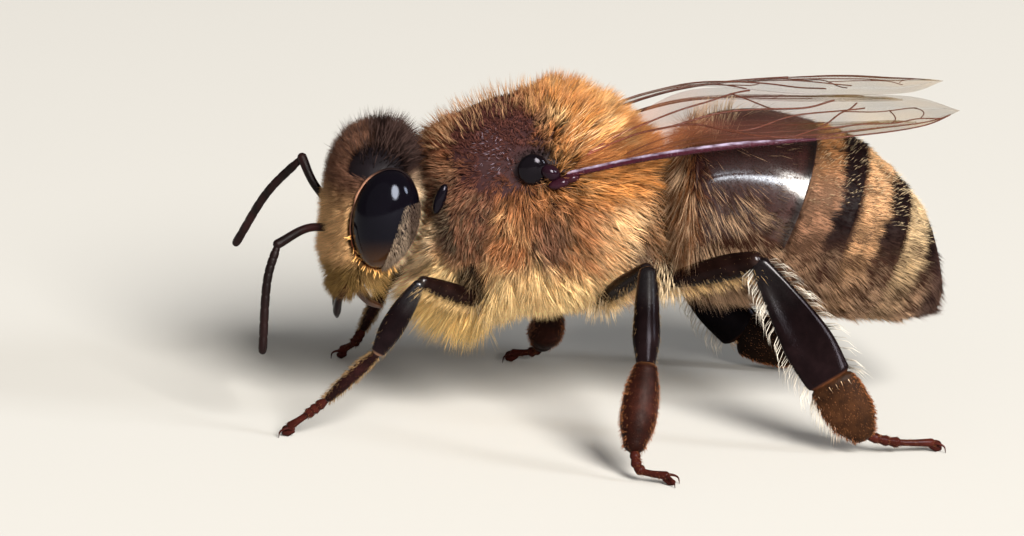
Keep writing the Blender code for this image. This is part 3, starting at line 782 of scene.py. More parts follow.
def leg_hair_style(piece, kind, normals, share, track, outward):
    """Which roots bear hair, and how it lies, on one piece of a leg.

    Gives keep, start, finish, length, width and colour, for each root or for all of them.
    track points along the piece and outward away from the bee; edge is 1 on the front and
    the rear edge of the piece.
    """
    under = ease(0.2, 0.9, -normals[:, 2])
    backward = unit(np.cross(track, outward))
    rear = ease(0.35, 0.9, normals @ backward)
    edge = np.maximum(rear, ease(0.35, 0.9, -normals @ backward))
    down = np.array([0.0, 0.0, -0.5])
    tan, pale = np.array([0.40, 0.25, 0.12]), np.array([0.80, 0.62, 0.40])
    red, grey = np.array([0.20, 0.075, 0.03]), np.array([0.75, 0.68, 0.58])
    if piece == "coxa":
        keep, length, width = 1.0, 0.50, 0.010
        start, finish = normals * 0.8 + down, normals * 0.2 + down * 2
        colour = pale
    elif piece == "femur":
        keep, length, width = 0.04 + 0.30 * under, 0.08 + 0.34 * under, 0.0042
        start, finish = normals + track * 0.9, normals * 0.5 + track + down
        colour = blend(tan * 0.4, pale * (1.0, 0.85, 0.6), under)
    elif piece == "tibia" and kind == "hind":
        comb = ease(0.93, 0.96, share)
        fringe = ease(0.75, 0.95, edge) * ease(0.02, 0.12, share) * (0.35 + 0.65 * share)
        keep, length, width = np.maximum(fringe, comb), (0.40 + 0.22 * edge) * (1 - 0.62 * comb), 0.0080
        start = normals * (1.0 - 0.5 * comb)[:, None] + track * (0.35 + comb)[:, None] + outward * 0.2
        finish = track * 1.1 + outward * 0.5 + normals * 0.2
        colour = blend(grey, (0.85, 0.45, 0.16), comb)
    elif piece == "tibia":
        keep, length, width = 0.05 + 0.12 * edge, 0.07 + 0.07 * edge, 0.0036
        start, finish = normals * 0.5 + track, normals * 0.3 + track
        colour = blend(tan * 0.10, tan * 0.6, edge)
    elif piece == "basitarsus":
        start = finish = normals * 0.8 + track * 0.9
        if kind == "hind":
            long = rear * ease(0.95, 0.5, share) * (RNG.uniform(0, 1, len(normals)) < 0.35)
            keep, length, width = 0.3 + 0.7 * edge, 0.06 + 0.05 * edge + 0.32 * long, 0.0055
            finish = start + track * 0.3
            colour = blend(red * 1.2, grey, long)
        elif kind == "front":
            keep, length, width = 0.10 + 0.30 * edge, 0.05 + 0.09 * edge, 0.0050
            colour = blend(red * 0.4, tan * 0.8, edge)
        else:
            keep, length, width = 0.12 + 0.55 * edge, 0.05 + 0.06 * edge, 0.0050
            colour = blend(red * 0.4, red * 1.6, edge)
    else:
        keep, length, width = 1.0, 0.09, 0.0050
        start, finish = normals * 0.6 + track, normals * 0.6 + track + down * 0.3
        colour = red * 0.8
    return keep, start, finish, length, width, colour


LEG_HAIR_COUNTS = {"coxa": 500, "femur": 700, "tibia": 620, "basitarsus": 900, "tarsus": 260}
HIND_HAIR_COUNTS = dict(LEG_HAIR_COUNTS, tibia=400, basitarsus=1440)


def make_leg(leg):
    """One leg: coxa, femur, shin and heel as tapered limbs, then toes, claws and its hair."""
    joints = np.array(LEGS[leg])
    kind = leg.split("_")[1]
    outward = np.array([0.0, -1.0 if leg.startswith("left") else 1.0, 0.0])
    hairs = []
    for number, piece in enumerate(LEG_PIECES[:4]):
        start, end = joints[number], joints[number + 1]
        share = np.linspace(0, 1, 26)
        profile = LEG_WIDTHS[kind][piece]
        widths = through(np.array(profile)[:, None], share * (len(profile) - 1))[:, 0]
        shrink = 0.10 if piece in ("tibia", "basitarsus") else 0.05
        run = start + (end - start) * (shrink / 2 + share * (1 - shrink))[:, None]
        if piece == "tibia":
            run = run + np.sin(share * math.pi)[:, None] * np.array([0.0, 0.0, 0.03])
        flat = kind == "hind" and piece in ("tibia", "basitarsus")
        depths = np.minimum(widths, HIND_DEPTH) if flat else widths * 0.85
        dish = outward[1] if flat and piece == "tibia" else None
        grid = limb_points(run, widths, depths, sides=28, dish=dish)
        verts, faces = closed_surface(grid)
        level = np.concatenate([np.repeat(np.linspace(0, 1, len(grid)), grid.shape[1]), [0.0, 1.0]])
        # painted shade: the right hind leg's shell is darkened to three tenths of its colour, for the shade
        # it stands in
        tints = leg_tint(verts, piece, level, kind) * (0.3 if leg == "right_hind" else 1.0)
        material = HEEL_SHELL if piece == "basitarsus" else LEG_SHELL
        shell = build_mesh(f"{leg}_{piece}_shell", verts, faces, material, tints)
        knee = ease(0.50, 0.20, level) if piece == "tibia" else ease(0.86, 0.97, level) * (piece == "femur")
        add_layer(shell, "gloss", KNEE_GLOSS[kind] * knee)
        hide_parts(f"{leg}_{piece}")
        hairs.append((piece, grid, unit(end - start)))
    hairs.append(("tarsus", make_toes(leg, joints[4:]), unit(joints[6] - joints[4])))
    make_leg_hair(leg, kind, hairs, outward)


def make_leg_hair(leg, kind, hairs, outward):
    """All the hair of one leg as one piece; no hair reaches the floor."""
    gathered = []
    for number, (piece, grid, track) in enumerate(hairs):
        count = (HIND_HAIR_COUNTS if kind == "hind" else LEG_HAIR_COUNTS)[piece]
        points, normals, share, turn = grid_roots(grid, count * 4)
        style = leg_hair_style(piece, kind, normals, share, track, outward)
        keep, start, finish, length, width, tint = style
        chosen = np.flatnonzero(RNG.uniform(0, 1, len(points)) < keep)[:count]
        length = np.broadcast_to(length, len(points)) * RNG.uniform(0.7, 1.2, len(points))
        width = np.full(len(points), width)
        place = np.stack([(turn + number) / 5, share], axis=1) * 0.98
        sway = ripple(points, 0.2, 61) * 0.10 + RNG.normal(0, 0.10, points.shape)
        shade = tint * RNG.uniform(0.6, 1.3, (len(points), 1))
        roots = points - normals * ROOT_DEPTH
        rows = (roots, normals, start + sway, finish + sway, length, width, shade, place)
        gathered.append([value[chosen] for value in rows])
    gathered = [np.concatenate(block) for block in zip(*gathered)]
    roots, normals, start, finish, length, width, tint, place = gathered
    length = np.minimum(length, np.maximum((roots[:, 2] + PLACE[2]) * 0.9, 0.03))
    coat = grow(f"{leg}_hair", roots, normals, start, finish, length, width, tint * 0.6, tint * 1.4,
                place, BRISTLE, rings=2)


def make_toes(leg, joints):
    """Three short heart-shaped toe joints, a long last one, two hooked claws and a pad."""
    route = through(joints, np.linspace(0, 2, 60))
    lengths = np.concatenate([[0], np.cumsum(np.linalg.norm(np.diff(route, axis=0), axis=1))])
    marks = np.array(TOE_MARKS) * lengths[-1]
    share = np.linspace(0, 1, 12)
    parts, grids = [], []
    for number, (first, last) in enumerate(zip(marks, marks[1:])):
        spot = np.linspace(first, last - TOE_GAP, 12)
        run = np.stack([np.interp(spot, lengths, route[:, axis]) for axis in range(3)], axis=1)
        flare = 0.40 if number < 3 else 0.22
        waist = 0.10 * (number == 3) * np.sin(share * math.pi)
        widths = TOE_RADIUS * (0.62 + flare * share ** 0.8 - waist)
        grid = limb_points(run, widths, widths * 0.9, sides=14, cap=4)
        grids.append(grid)
        parts.append(closed_surface(grid))
    ahead = unit((route[-1] - route[-8]) * (1, 1, 0))
    sideways = np.cross(ahead, [0, 0, 1.0])
    base = np.array([route[-1][0], route[-1][1], 0.17]) - ahead * 0.12

    def placed(offsets, sign=1):
        """Points given by their reach, spread and rise from the end of the foot."""
        return [base + ahead * reach + sideways * sign * spread + [0, 0, rise]
                for reach, spread, rise in offsets]

    for sign in (-1, 1):
        hook = through(placed(CLAW_POINTS, sign), np.linspace(0, 3, 14))
        taper = np.linspace(0.045, 0.006, 14)
        parts.append(closed_surface(limb_points(hook, taper, taper, sides=8, cap=3)))
    pad = limb_points(placed(PAD_POINTS), PAD_SIZES, PAD_SIZES * 0.75, sides=10, cap=3)
    parts.append(closed_surface(pad))
    verts, faces = join_surfaces(parts)
    verts[:, 2] = np.maximum(verts[:, 2], SOLE_LEVEL - PLACE[2])
    tints = leg_tint(verts, "tarsus", np.full(len(verts), 0.5))
    toes = build_mesh(f"{leg}_toes", verts, faces, LEG_SHELL, tints)
    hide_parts(f"{leg}_tarsus")
    return np.concatenate(grids)


def make_feeler(side):
    """Scape, small pedicel and a flagellum of even joints, parted by fine grooves."""
    joints = FEELERS[side]
    scape = through(joints[:3], np.linspace(0, 2, 24))
    flagellum = through(joints[2:], np.linspace(0, 2, FLAGELLUM_JOINTS * 8 + 1))
    sizes = FEELER_RADIUS * (0.90 + 0.20 * np.linspace(0, 1, 24) ** 2)
    position = np.linspace(0, FLAGELLUM_JOINTS, len(flagellum))
    groove = np.exp(-((position - np.round(position)) / 0.10) ** 2)
    widths = FEELER_RADIUS * (0.70 + 0.30 * ease(0.0, 1.6, position)) * (1 - 0.10 * groove)
    verts, faces = join_surfaces([closed_surface(limb_points(scape, sizes, sizes, sides=16)),
                                  closed_surface(limb_points(flagellum, widths, widths, sides=16))])
    tints = blend((0.004, 0.002, 0.002), (0.016, 0.005, 0.005), np.abs(ripple(verts, 1.2, 3)[:, 0]))
    feeler = build_mesh(f"{side}_feeler", verts, faces, FEELER_SHELL, tints)
    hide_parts(f"{side}_scape", f"{side}_flagellum")


JAW_PATH = [(-5.20, 0.66, 3.05), (-5.36, 0.56, 2.78), (-5.42, 0.36, 2.50), (-5.42, 0.13, 2.26)]
# The tongue's three tubes: sideways place and radius, on one path of x, share of that place and z.
TONGUE_TUBES = [(-0.11, 0.10), (0.11, 0.10), (0.0, 0.07)]
TONGUE_PATH = [(-5.00, 1.0, 3.05), (-4.92, 1.0, 2.74), (-4.74, 0.6, 2.50), (-4.50, 0.3, 2.38)]


def make_mouth():
    """Jaws with a flat chisel tip, and the folded tongue behind them."""
    for side, sign in (("left", -1), ("right", 1)):
        path = through(JAW_PATH, np.linspace(0, 3, 18)) * (1, sign, 1)
        widths = np.interp(np.linspace(0, 1, 18), [0, 0.35, 0.8, 1], [0.20, 0.15, 0.17, 0.10])
        verts, faces = closed_surface(limb_points(path, widths, widths * 0.55, twist=(1.0, 0.2 * sign, 0)))
        tints = blend((0.045, 0.018, 0.008), (0.012, 0.008, 0.008), ease(2.9, 2.6, verts[:, 2]))
        jaw = build_mesh(f"{side}_jaw", verts, faces, LEG_SHELL, tints)
        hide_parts(f"{side}_mandible")
    parts = []
    for offset, radius in TONGUE_TUBES:
        points = [(x, offset * share, z) for x, share, z in TONGUE_PATH]
        path = through(points, np.linspace(0, 3, 20))
        widths = radius * np.interp(np.linspace(0, 1, 20), [0, 0.4, 1], [1.1, 1.0, 0.45])
        parts.append(closed_surface(limb_points(path, widths, widths, sides=12)))
    verts, faces = join_surfaces(parts)
    tongue = build_mesh("tongue", verts, faces, AMBER)
    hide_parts("proboscis")


def ball(centre, half, lean=0.0):
    """Ellipsoid as a grid of latitude rows; lean turns it about the Y axis."""
    rows = np.linspace(0.02, 0.98, 24)
    latitude, longitude = np.meshgrid(rows * math.pi, np.arange(36) / 36 * TURN, indexing="ij")
    ring = np.sin(latitude)
    x, z = leaned(ring * np.cos(longitude) * half[0], -np.cos(latitude) * half[2], lean)
    return np.stack([x, ring * np.sin(longitude) * half[1], z], axis=-1) + np.asarray(centre)


# Small glossy parts of the thorax's side, on the right: centre, half size, lean and tint.
KNUCKLES = [
    ((-1.34, 1.95, 5.83), (0.33, 0.16, 0.34), 0.30, (0.003, 0.002, 0.003)),
    ((-0.98, 2.04, 5.78), (0.22, 0.17, 0.17), 0.5, (0.010, 0.003, 0.006)),
    ((-0.80, 2.08, 5.56), (0.24, 0.14, 0.12), -0.3, (0.022, 0.005, 0.010)),
    ((-0.56, 2.06, 5.66), (0.20, 0.12, 0.10), -0.2, (0.030, 0.006, 0.010)),
    ((-3.27, 1.53, 5.12), (0.12, 0.13, 0.34), 0.35, (0.003, 0.002, 0.004)),
]


def make_knuckles():
    """Glossy domes over the wing roots, the knuckles behind them and the shoulder lobes."""
    for side, sign in (("left", -1), ("right", 1)):
        parts, tints = [], []
        for centre, half, lean, tint in KNUCKLES:
            parts.append(closed_surface(ball(np.asarray(centre) * (1, sign, 1), half, lean)))
            tints.append(np.tile(tint, (len(parts[-1][0]), 1)))
        verts, faces = join_surfaces(parts)
        dome = build_mesh(f"{side}_wing_root", verts, faces, ROOT_SHELL, np.concatenate(tints))
        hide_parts(f"{side}_tegula")


# ---------------------------------------------------------------- wings
# Veins in shares of the wing: (along 0..1, across 0 front .. 1 rear), and half thickness.
FOREWING_VEINS = [
    ([(0.00, 0.10), (0.20, 0.015), (0.34, 0.005), (0.44, 0.0)], 0.090),
    ([(0.44, 0.0), (0.60, 0.0), (0.78, 0.0), (0.93, 0.01)], 0.026),
    ([(0.02, 0.95), (0.10, 0.80), (0.18, 0.70), (0.29, 0.75), (0.38, 0.97)], 0.028),
    ([(0.02, 0.80), (0.10, 0.62), (0.21, 0.44), (0.33, 0.53), (0.44, 0.62), (0.54, 0.80)], 0.032),
    ([(0.21, 0.44), (0.26, 0.38), (0.30, 0.27), (0.35, 0.12), (0.42, 0.03)], 0.034),
    ([(0.30, 0.27), (0.34, 0.24), (0.42, 0.41), (0.53, 0.53), (0.60, 0.60)], 0.026),
    ([(0.34, 0.87), (0.38, 0.71), (0.40, 0.585)], 0.022),
    ([(0.40, 0.05), (0.46, 0.21), (0.54, 0.50), (0.59, 0.73)], 0.024),
    ([(0.45, 0.185), (0.56, 0.22), (0.65, 0.19), (0.76, 0.22), (0.86, 0.045)], 0.024),
    ([(0.44, 0.0), (0.50, 0.08), (0.62, 0.10), (0.76, 0.08), (0.93, 0.01)], 0.024),
    ([(0.54, 0.50), (0.62, 0.44), (0.70, 0.46), (0.76, 0.56)], 0.020),
    ([(0.65, 0.19), (0.67, 0.30), (0.66, 0.44)], 0.018),
    ([(0.76, 0.22), (0.78, 0.34), (0.75, 0.50)], 0.018),
]
HINDWING_VEINS = [
    ([(0.00, 0.15), (0.25, 0.04), (0.55, 0.03), (0.80, 0.04)], 0.030),
    ([(0.00, 0.30), (0.30, 0.26), (0.55, 0.30), (0.80, 0.42)], 0.022),
    ([(0.00, 0.60), (0.30, 0.62), (0.60, 0.78)], 0.020),
    ([(0.48, 0.28), (0.50, 0.48), (0.46, 0.70)], 0.016),
]


STOUT_VEIN = 0.05                           # half thickness over which a vein is the stout front one
FILM_HALF = np.array([0.0, 0.0, 0.004])     # from the middle of a wing's film to its upper face


def wing_edges(side, hind, along):
    """Front and rear edge of a forewing, or of the hindwing folded under it, laid to the left."""
    rear_edge = np.array(FOREWING_REAR)
    if side == "right":
        rear_edge[:, 2] -= RIGHT_REAR_DROP
    if not hind:
        params = along * (len(FOREWING_FRONT) - 1)
        return through(FOREWING_FRONT, params), through(rear_edge, params)
    params = HINDWING_START + along * (HINDWING_END - HINDWING_START)
    lead, trail = through(FOREWING_FRONT, params), through(rear_edge, params)
    across = trail - lead
    below = np.cross(across, [1.0, 0.0, 0.0])
    below = unit(below) * -HINDWING_DROP * np.sign(below[..., 2:])
    front = through([[value] for value in HINDWING_FRONT_SHARE], along * 2)
    rear = through([[value] for value in HINDWING_REAR_SHARE], along * 2)
    return lead + across * front + below, lead + across * rear + below


def wing_point(side, hind, along, across):
    """Point of a wing: between its two edges, with shallow folds that fade towards the tip."""
    lead, trail = wing_edges(side, hind, along)
    chord = trail - lead
    tip = np.clip((along - 0.90) / 0.10, 0, 1)
    points = lead + chord * across[..., None]
    root = np.sin(np.clip(along * 3, 0, 1) * math.pi / 2)
    folds = np.sin(across * 15.0 + along * 2.0) * (1 - tip) * root
    crumple = np.sin(along * 23 + across * 9) * 0.3
    lift = 0.030 * (folds + crumple * ease(0.2, 0.6, along) * (1 - tip)) * np.sin(across * math.pi)
    points[..., 2] += lift + 0.05 * np.sin(across * math.pi) * (1 - tip)
    return points


def make_membrane(name, side, hind, flip):
    """Membrane as a thin closed film: redder and denser at its root, yellower further out."""
    rows = 1 - (1 - np.linspace(0, 0.998, 120)) ** 1.3     # closer together towards the tip
    along, across = np.meshgrid(rows, np.linspace(0, 1, 40), indexing="ij")
    sheet = wing_point(side, hind, along, across)
    both_faces = np.concatenate([sheet + FILM_HALF, (sheet - FILM_HALF)[:, ::-1]], axis=1)
    verts, faces = closed_surface(both_faces * flip)
    share = np.append(np.concatenate([along, along], axis=1), [0.0, 1.0])
    from_front = np.append(np.concatenate([across, across[:, ::-1]], axis=1), [0.5, 0.5])
    tints = blend((0.36, 0.120, 0.048), (0.13, 0.045, 0.035), ease(0.14, 0.34, share))
    tints = blend(tints, (0.22, 0.125, 0.028), ease(0.42, 0.62, share))
    tints = tints * (0.85 + 0.35 * ripple(verts, 0.9, 57)[:, :1]).clip(0.4, 1.4)
    density = 0.25 - 0.05 * ease(0.05, 0.35, share) + 0.03 * ease(0.5, 0.8, share)
    membrane = build_mesh(f"{name}_membrane", verts, faces, MEMBRANE, tints)
    add_layer(membrane, "film", density + 0.08 * ease(0.2, 0.05, from_front))
    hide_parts(name)


def make_veins(name, side, hind, flip):
    """Veins of a wing as one joined piece of tapered tubes; the stout one has a painted highlight on top."""
    parts, colours = [], []
    for line, radius in (HINDWING_VEINS if hind else FOREWING_VEINS):
        radius = radius if side == "left" else min(radius * 0.75, 0.040)
        stout = radius > STOUT_VEIN
        shares = through(line, np.linspace(0, len(line) - 1, 14 * len(line)))
        path = wing_point(side, hind, *np.clip(shares, 0, 1).T) * flip
        taper = 0.55 * ease(0.30, 0.44, shares[:, 0]) if stout else 0.35 * shares[:, 0]
        sizes = radius * (1 - taper)
        tube = limb_points(path, sizes, sizes * 0.8, sides=16 if stout else 8, twist=(0, 0, 1), cap=3)
        verts, faces = closed_surface(tube)
        parts.append((verts, faces))
        colour = blend((0.20, 0.05, 0.025), (0.09, 0.030, 0.018), ease(0.0, 0.3, (verts[:, 0] + 1) / 9))
        if stout:
            # painted highlight: the upper side of the stout front vein is coloured pale lilac in uneven
            # dashes; only the left wing's front vein is stout enough for it
            rise = ((tube - tube.mean(axis=1, keepdims=True))[..., 2] / radius).ravel()
            uneven = (0.60 + 0.75 * ripple(verts, 0.13, 91)[:, 0]).clip(0.2, 1)
            painted_glint = ease(0.30, 0.65, np.append(rise, [0, 0])) * uneven
            colour = blend((0.042, 0.005, 0.012), (0.46, 0.39, 0.54), painted_glint)
        colours.append(colour)
    verts, faces = join_surfaces(parts)
    veins = build_mesh(f"{name}_veins", verts, faces, VEIN, np.concatenate(colours))


def make_wing(side, hind):
    """Membrane and veins of a forewing or a hindwing, mirrored for the right side."""
    flip = np.array([1.0, 1.0 if side == "left" else -1.0, 1.0])
    name = f"{side}_{'hindwing' if hind else 'forewing'}"
    make_membrane(name, side, hind, flip)
    make_veins(name, side, hind, flip)


# ---------------------------------------------------------------- coat
ROOT_DEPTH = 0.02                           # how deep in the skin a hair starts
UV_PATCH = 0.003                            # side of the patch that one hair takes of the coat's map
# Number of hairs in each piece of the coat.
HAIR_COUNTS = {"thorax_coat": 16500, "thorax_halo": 1700, "wing_root_fan": 1500, "abdomen_coat": 45000,
               "abdomen_fuzz": 1500, "head_coat": 30000, "crown_tuft": 900, "eye_hairs": 4200, "lashes": 34}
# Places of the rings of a hair along it, and their share of its width, by their number.
HAIR_RINGS = {1: ([0.0], [1.0]), 2: ([0.0, 0.5], [1.0, 0.8]), 3: ([0.0, 0.38, 0.74], [0.9, 1.0, 0.65])}


def scatter(surface, count, keep, middle, ends):
    """Roots spread evenly over a surface, thinned where keep() is low.

    Each try is weighed by the area of a small step both ways there, times keep().
    """
    tries = count * 5
    along = RNG.uniform(*ends, tries)
    turn = RNG.uniform(0, 1, tries)
    step = 2e-3
    across = surface(np.clip(along + step, 0, 1), turn) - surface(np.clip(along - step, 0, 1), turn)
    around = surface(along, turn + step) - surface(along, turn - step)
    area = np.linalg.norm(np.cross(across, around), axis=1)
    points, normals = surface_normals(surface, along, turn, middle)
    weight = area * np.clip(keep(points, normals, along, turn), 0, None)
    size = min(count, int((weight > 0).sum()))
    chosen = RNG.choice(tries, size=size, replace=False, p=weight / weight.sum())
    return points[chosen], normals[chosen], along[chosen], turn[chosen]


def grow(name, roots, normals, start, finish, length, width, tint, tip_tint, place, material, rings=3):
    """Hairs as bent three-sided spikes: each leaves its root along start and ends along finish.

    The middle line is the quadratic curve root, bend, tip, with half the length on each
    side of the bend, and the colour goes from tint at the root to tip_tint.
    """
    count = len(roots)
    start, finish = unit(start), unit(finish)
    length = np.broadcast_to(length, count)[:, None]
    width = np.broadcast_to(width, count)[:, None]
    share, taper = HAIR_RINGS[rings]
    bend = roots + start * length * 0.5
    tip = bend + finish * length * 0.5
    side = unit(np.cross(start, normals) + 1e-4)
    other = unit(np.cross(start, side))
    rows = []
    for part, size in zip(share, taper):
        centre = roots * (1 - part) ** 2 + bend * 2 * part * (1 - part) + tip * part ** 2
        for corner in range(3):
            angle = TURN * corner / 3
            rows.append(centre + (side * math.cos(angle) + other * math.sin(angle)) * width * size)
    rows.append(tip)
    verts = np.stack(rows, axis=1)
    each = verts.shape[1]
    local = [(2, 1, 0)]
    for ring in range(len(share) - 1):
        for corner in range(3):
            low, high = ring * 3 + corner, ring * 3 + (corner + 1) % 3
            local += [(low, high, high + 3), (low, high + 3, low + 3)]
    last = (len(share) - 1) * 3
    local += [(last + corner, last + (corner + 1) % 3, each - 1) for corner in range(3)]
    faces = (np.array(local)[None] + (np.arange(count) * each)[:, None, None]).reshape(-1, 3)
    level = np.concatenate([np.repeat(share, 3), [1.0]])
    rise = np.broadcast_to(ease(0.05, 0.9, level), (count, each))
    colours = blend(tint[:, None], tip_tint[:, None], rise)
    across = np.concatenate([np.tile([0.0, 0.5, 1.0], len(share)), [0.5]])
    uv = place[:, None] + np.stack([across * UV_PATCH, level * UV_PATCH], axis=1)[None]
    verts, colours, uv = verts.reshape(-1, 3), colours.reshape(-1, 3), uv.reshape(-1, 2)
    return build_mesh(name, verts, [faces], material, colours, uv)


def fur(name, surface, keep, look, middle, ends, rings=2, kind=None):
    """One piece of the coat, on one surface, of a kind that is its name if none is given.

    keep() gives how thick it grows and look() gives start, finish, length, width and the
    root's and the tip's colour; every hair varies a little in size and shade.
    """
    roots, normals, along, turn = scatter(surface, HAIR_COUNTS[kind or name], keep, middle, ends)
    start, finish, length, width, tint, tip = look(roots, normals, along, turn)
    shade = RNG.normal(1.0, 0.18, (len(roots), 1)).clip(0.5, 1.6)
    length = length * RNG.uniform(0.65, 1.2, len(roots))
    width = width * RNG.uniform(0.8, 1.15, len(roots))
    place = np.stack([turn, along], axis=1) * 0.99
    coat = grow(name, roots - normals * ROOT_DEPTH, normals, start, finish, length, width,
                tint * shade, tip * shade, place, COAT, rings)


def layered(colour, layers):
    """Colours laid one over another: each layer is a colour and the share in which it covers."""
    for shade, share in layers:
        colour = blend(colour, shade, share)
    return colour


def axis_point(points):
    """Nearest point on a level line through the middle of the thorax and the abdomen."""
    return np.stack([points[:, 0], np.zeros(len(points)), np.full(len(points), 4.3)], axis=1)


def head_axis(points):
    """Nearest point on the head's upright axis."""
    return np.stack([np.full(len(points), -4.6), np.zeros(len(points)), points[:, 2]], axis=1)


def folded(points):
    """Points with both sides of the bee laid on its right side."""
    return points * (1, 0, 1) + np.abs(points) * (0, 1, 0)


def in_eye(points, margin):
    """True inside either eye's ellipsoid, widened by a margin."""
    x, y, z = (folded(points) - EYE_CENTRE).T
    x, z = leaned(x, z, -EYE_TILT)
    size = EYE_HALF + margin
    return (x / size[0]) ** 2 + (y / size[1]) ** 2 + (z / size[2]) ** 2 < 1


def near(points, centre, half, soft=(0.7, 1.1)):
    """1 at a spot on each side, falling to 0 at its edge; half gives its three half sizes."""
    offset = (folded(points) - np.asarray(centre)) / np.asarray(half)
    return 1 - ease(*soft, np.linalg.norm(offset, axis=1))


def patch(points, centre, half, soft=(0.7, 1.15)):
    """As near(), for a place given in profile: centre and half are (x, z)."""
    offset = (points[:, ::2] - np.asarray(centre)) / np.asarray(half)
    wobble = ripple(points, 0.5, 71)[:, 0] * 0.12
    return 1 - ease(*soft, np.linalg.norm(offset, axis=1) + wobble)


def thorax_zones(points):
    """Masks of the thorax, by name.

    Worn velvet and its sheen, dark flank and streak, cream chest and beard, golden rear,
    black wing root, collar, the painted shadow line behind it, hip, the side behind the cheek,
    and the waist with the dark gap under it, which is partly painted shade.
    """
    x, z = points[:, 0], points[:, 2]
    rear_edge = 0.42 + 0.40 * (z - 4.2) + 0.18 * ripple(points, 0.4, 73)[:, 0]
    # painted shadow: the line where the head's shade falls across the front of the thorax
    neck_shadow_line = x + 3.16 - 0.16 * (5.0 - z)
    return {
        "velvet": patch(points, (-2.10, 6.25), (1.12, 1.00), (0.6, 1.2)),
        "sheen": patch(points, (-2.15, 6.00), (0.42, 0.42)),
        "flank": patch(points, (-2.75, 4.80), (0.85, 1.15)),
        "streak": patch(points, (-1.05, 4.60), (0.46, 0.72), (0.3, 1.2)),
        "low": ease(4.35, 3.2, z + 0.25 * ripple(points, 0.8, 72)[:, 0]),
        "golden": ease(-1.65, -0.80, x + 0.15 * ripple(points, 0.4, 74)[:, 0]) * ease(4.7, 5.4, z),
        "black": patch(points, (-1.34, 6.02), (0.50, 0.24), (0.5, 1.1)),
        "collar": ease(-2.9, -3.2, x) * ease(3.6, 4.3, z),
        "chest": ease(-2.9, -3.25, x) * ease(4.3, 3.7, z),
        "rear": ease(-0.5, 0.3, x) * ease(5.3, 4.7, z),
        "amber": ease(-0.55, -0.1, x) * ease(4.95, 5.3, z) * ease(6.1, 5.8, z),
        "waist": ease(0.0, 0.25, x - rear_edge) * ease(6.2, 5.8, z),
        "top": ease(5.8, 6.6, z),
        "beard": ease(-1.9, -2.3, x) * ease(3.7, 3.1, z),
        "hip": near(points, (-2.50, 1.45, 3.40), (0.46, 0.8, 0.52)),
        "cheek": ease(-3.15, -3.35, x) * ease(4.75, 4.4, z),
        "gap": patch(points, (0.72, 4.05), (0.42, 0.42), (0.3, 1.2)),
        "painted_neck_shadow": ease(0.20, 0.08, np.abs(neck_shadow_line)) * ease(3.9, 4.15, z) * ease(5.3, 5.0, z),
    }


def thorax_keep(points, normals, along, turn):
    """Fur is thin on the worn patch and at the waist, and gone round the wing roots."""
    zone = thorax_zones(points)
    keep = 1 - 0.20 * zone["sheen"] - 0.15 * zone["flank"] - 0.70 * zone["waist"]
    keep *= 1 - near(points, (-1.24, 2.0, 5.86), (0.42, 0.6, 0.27))
    keep *= 1 - 0.75 * near(points, (-3.28, 1.5, 5.1), (0.15, 0.5, 0.34))
    keep *= 1 + 0.5 * zone["low"]
    keep *= 1 + 0.6 * zone["top"] * (1 - zone["golden"])
    keep *= 1 - 0.85 * zone["hip"]
    return keep * (1 - ease(1.45, 1.6, points[:, 0]))


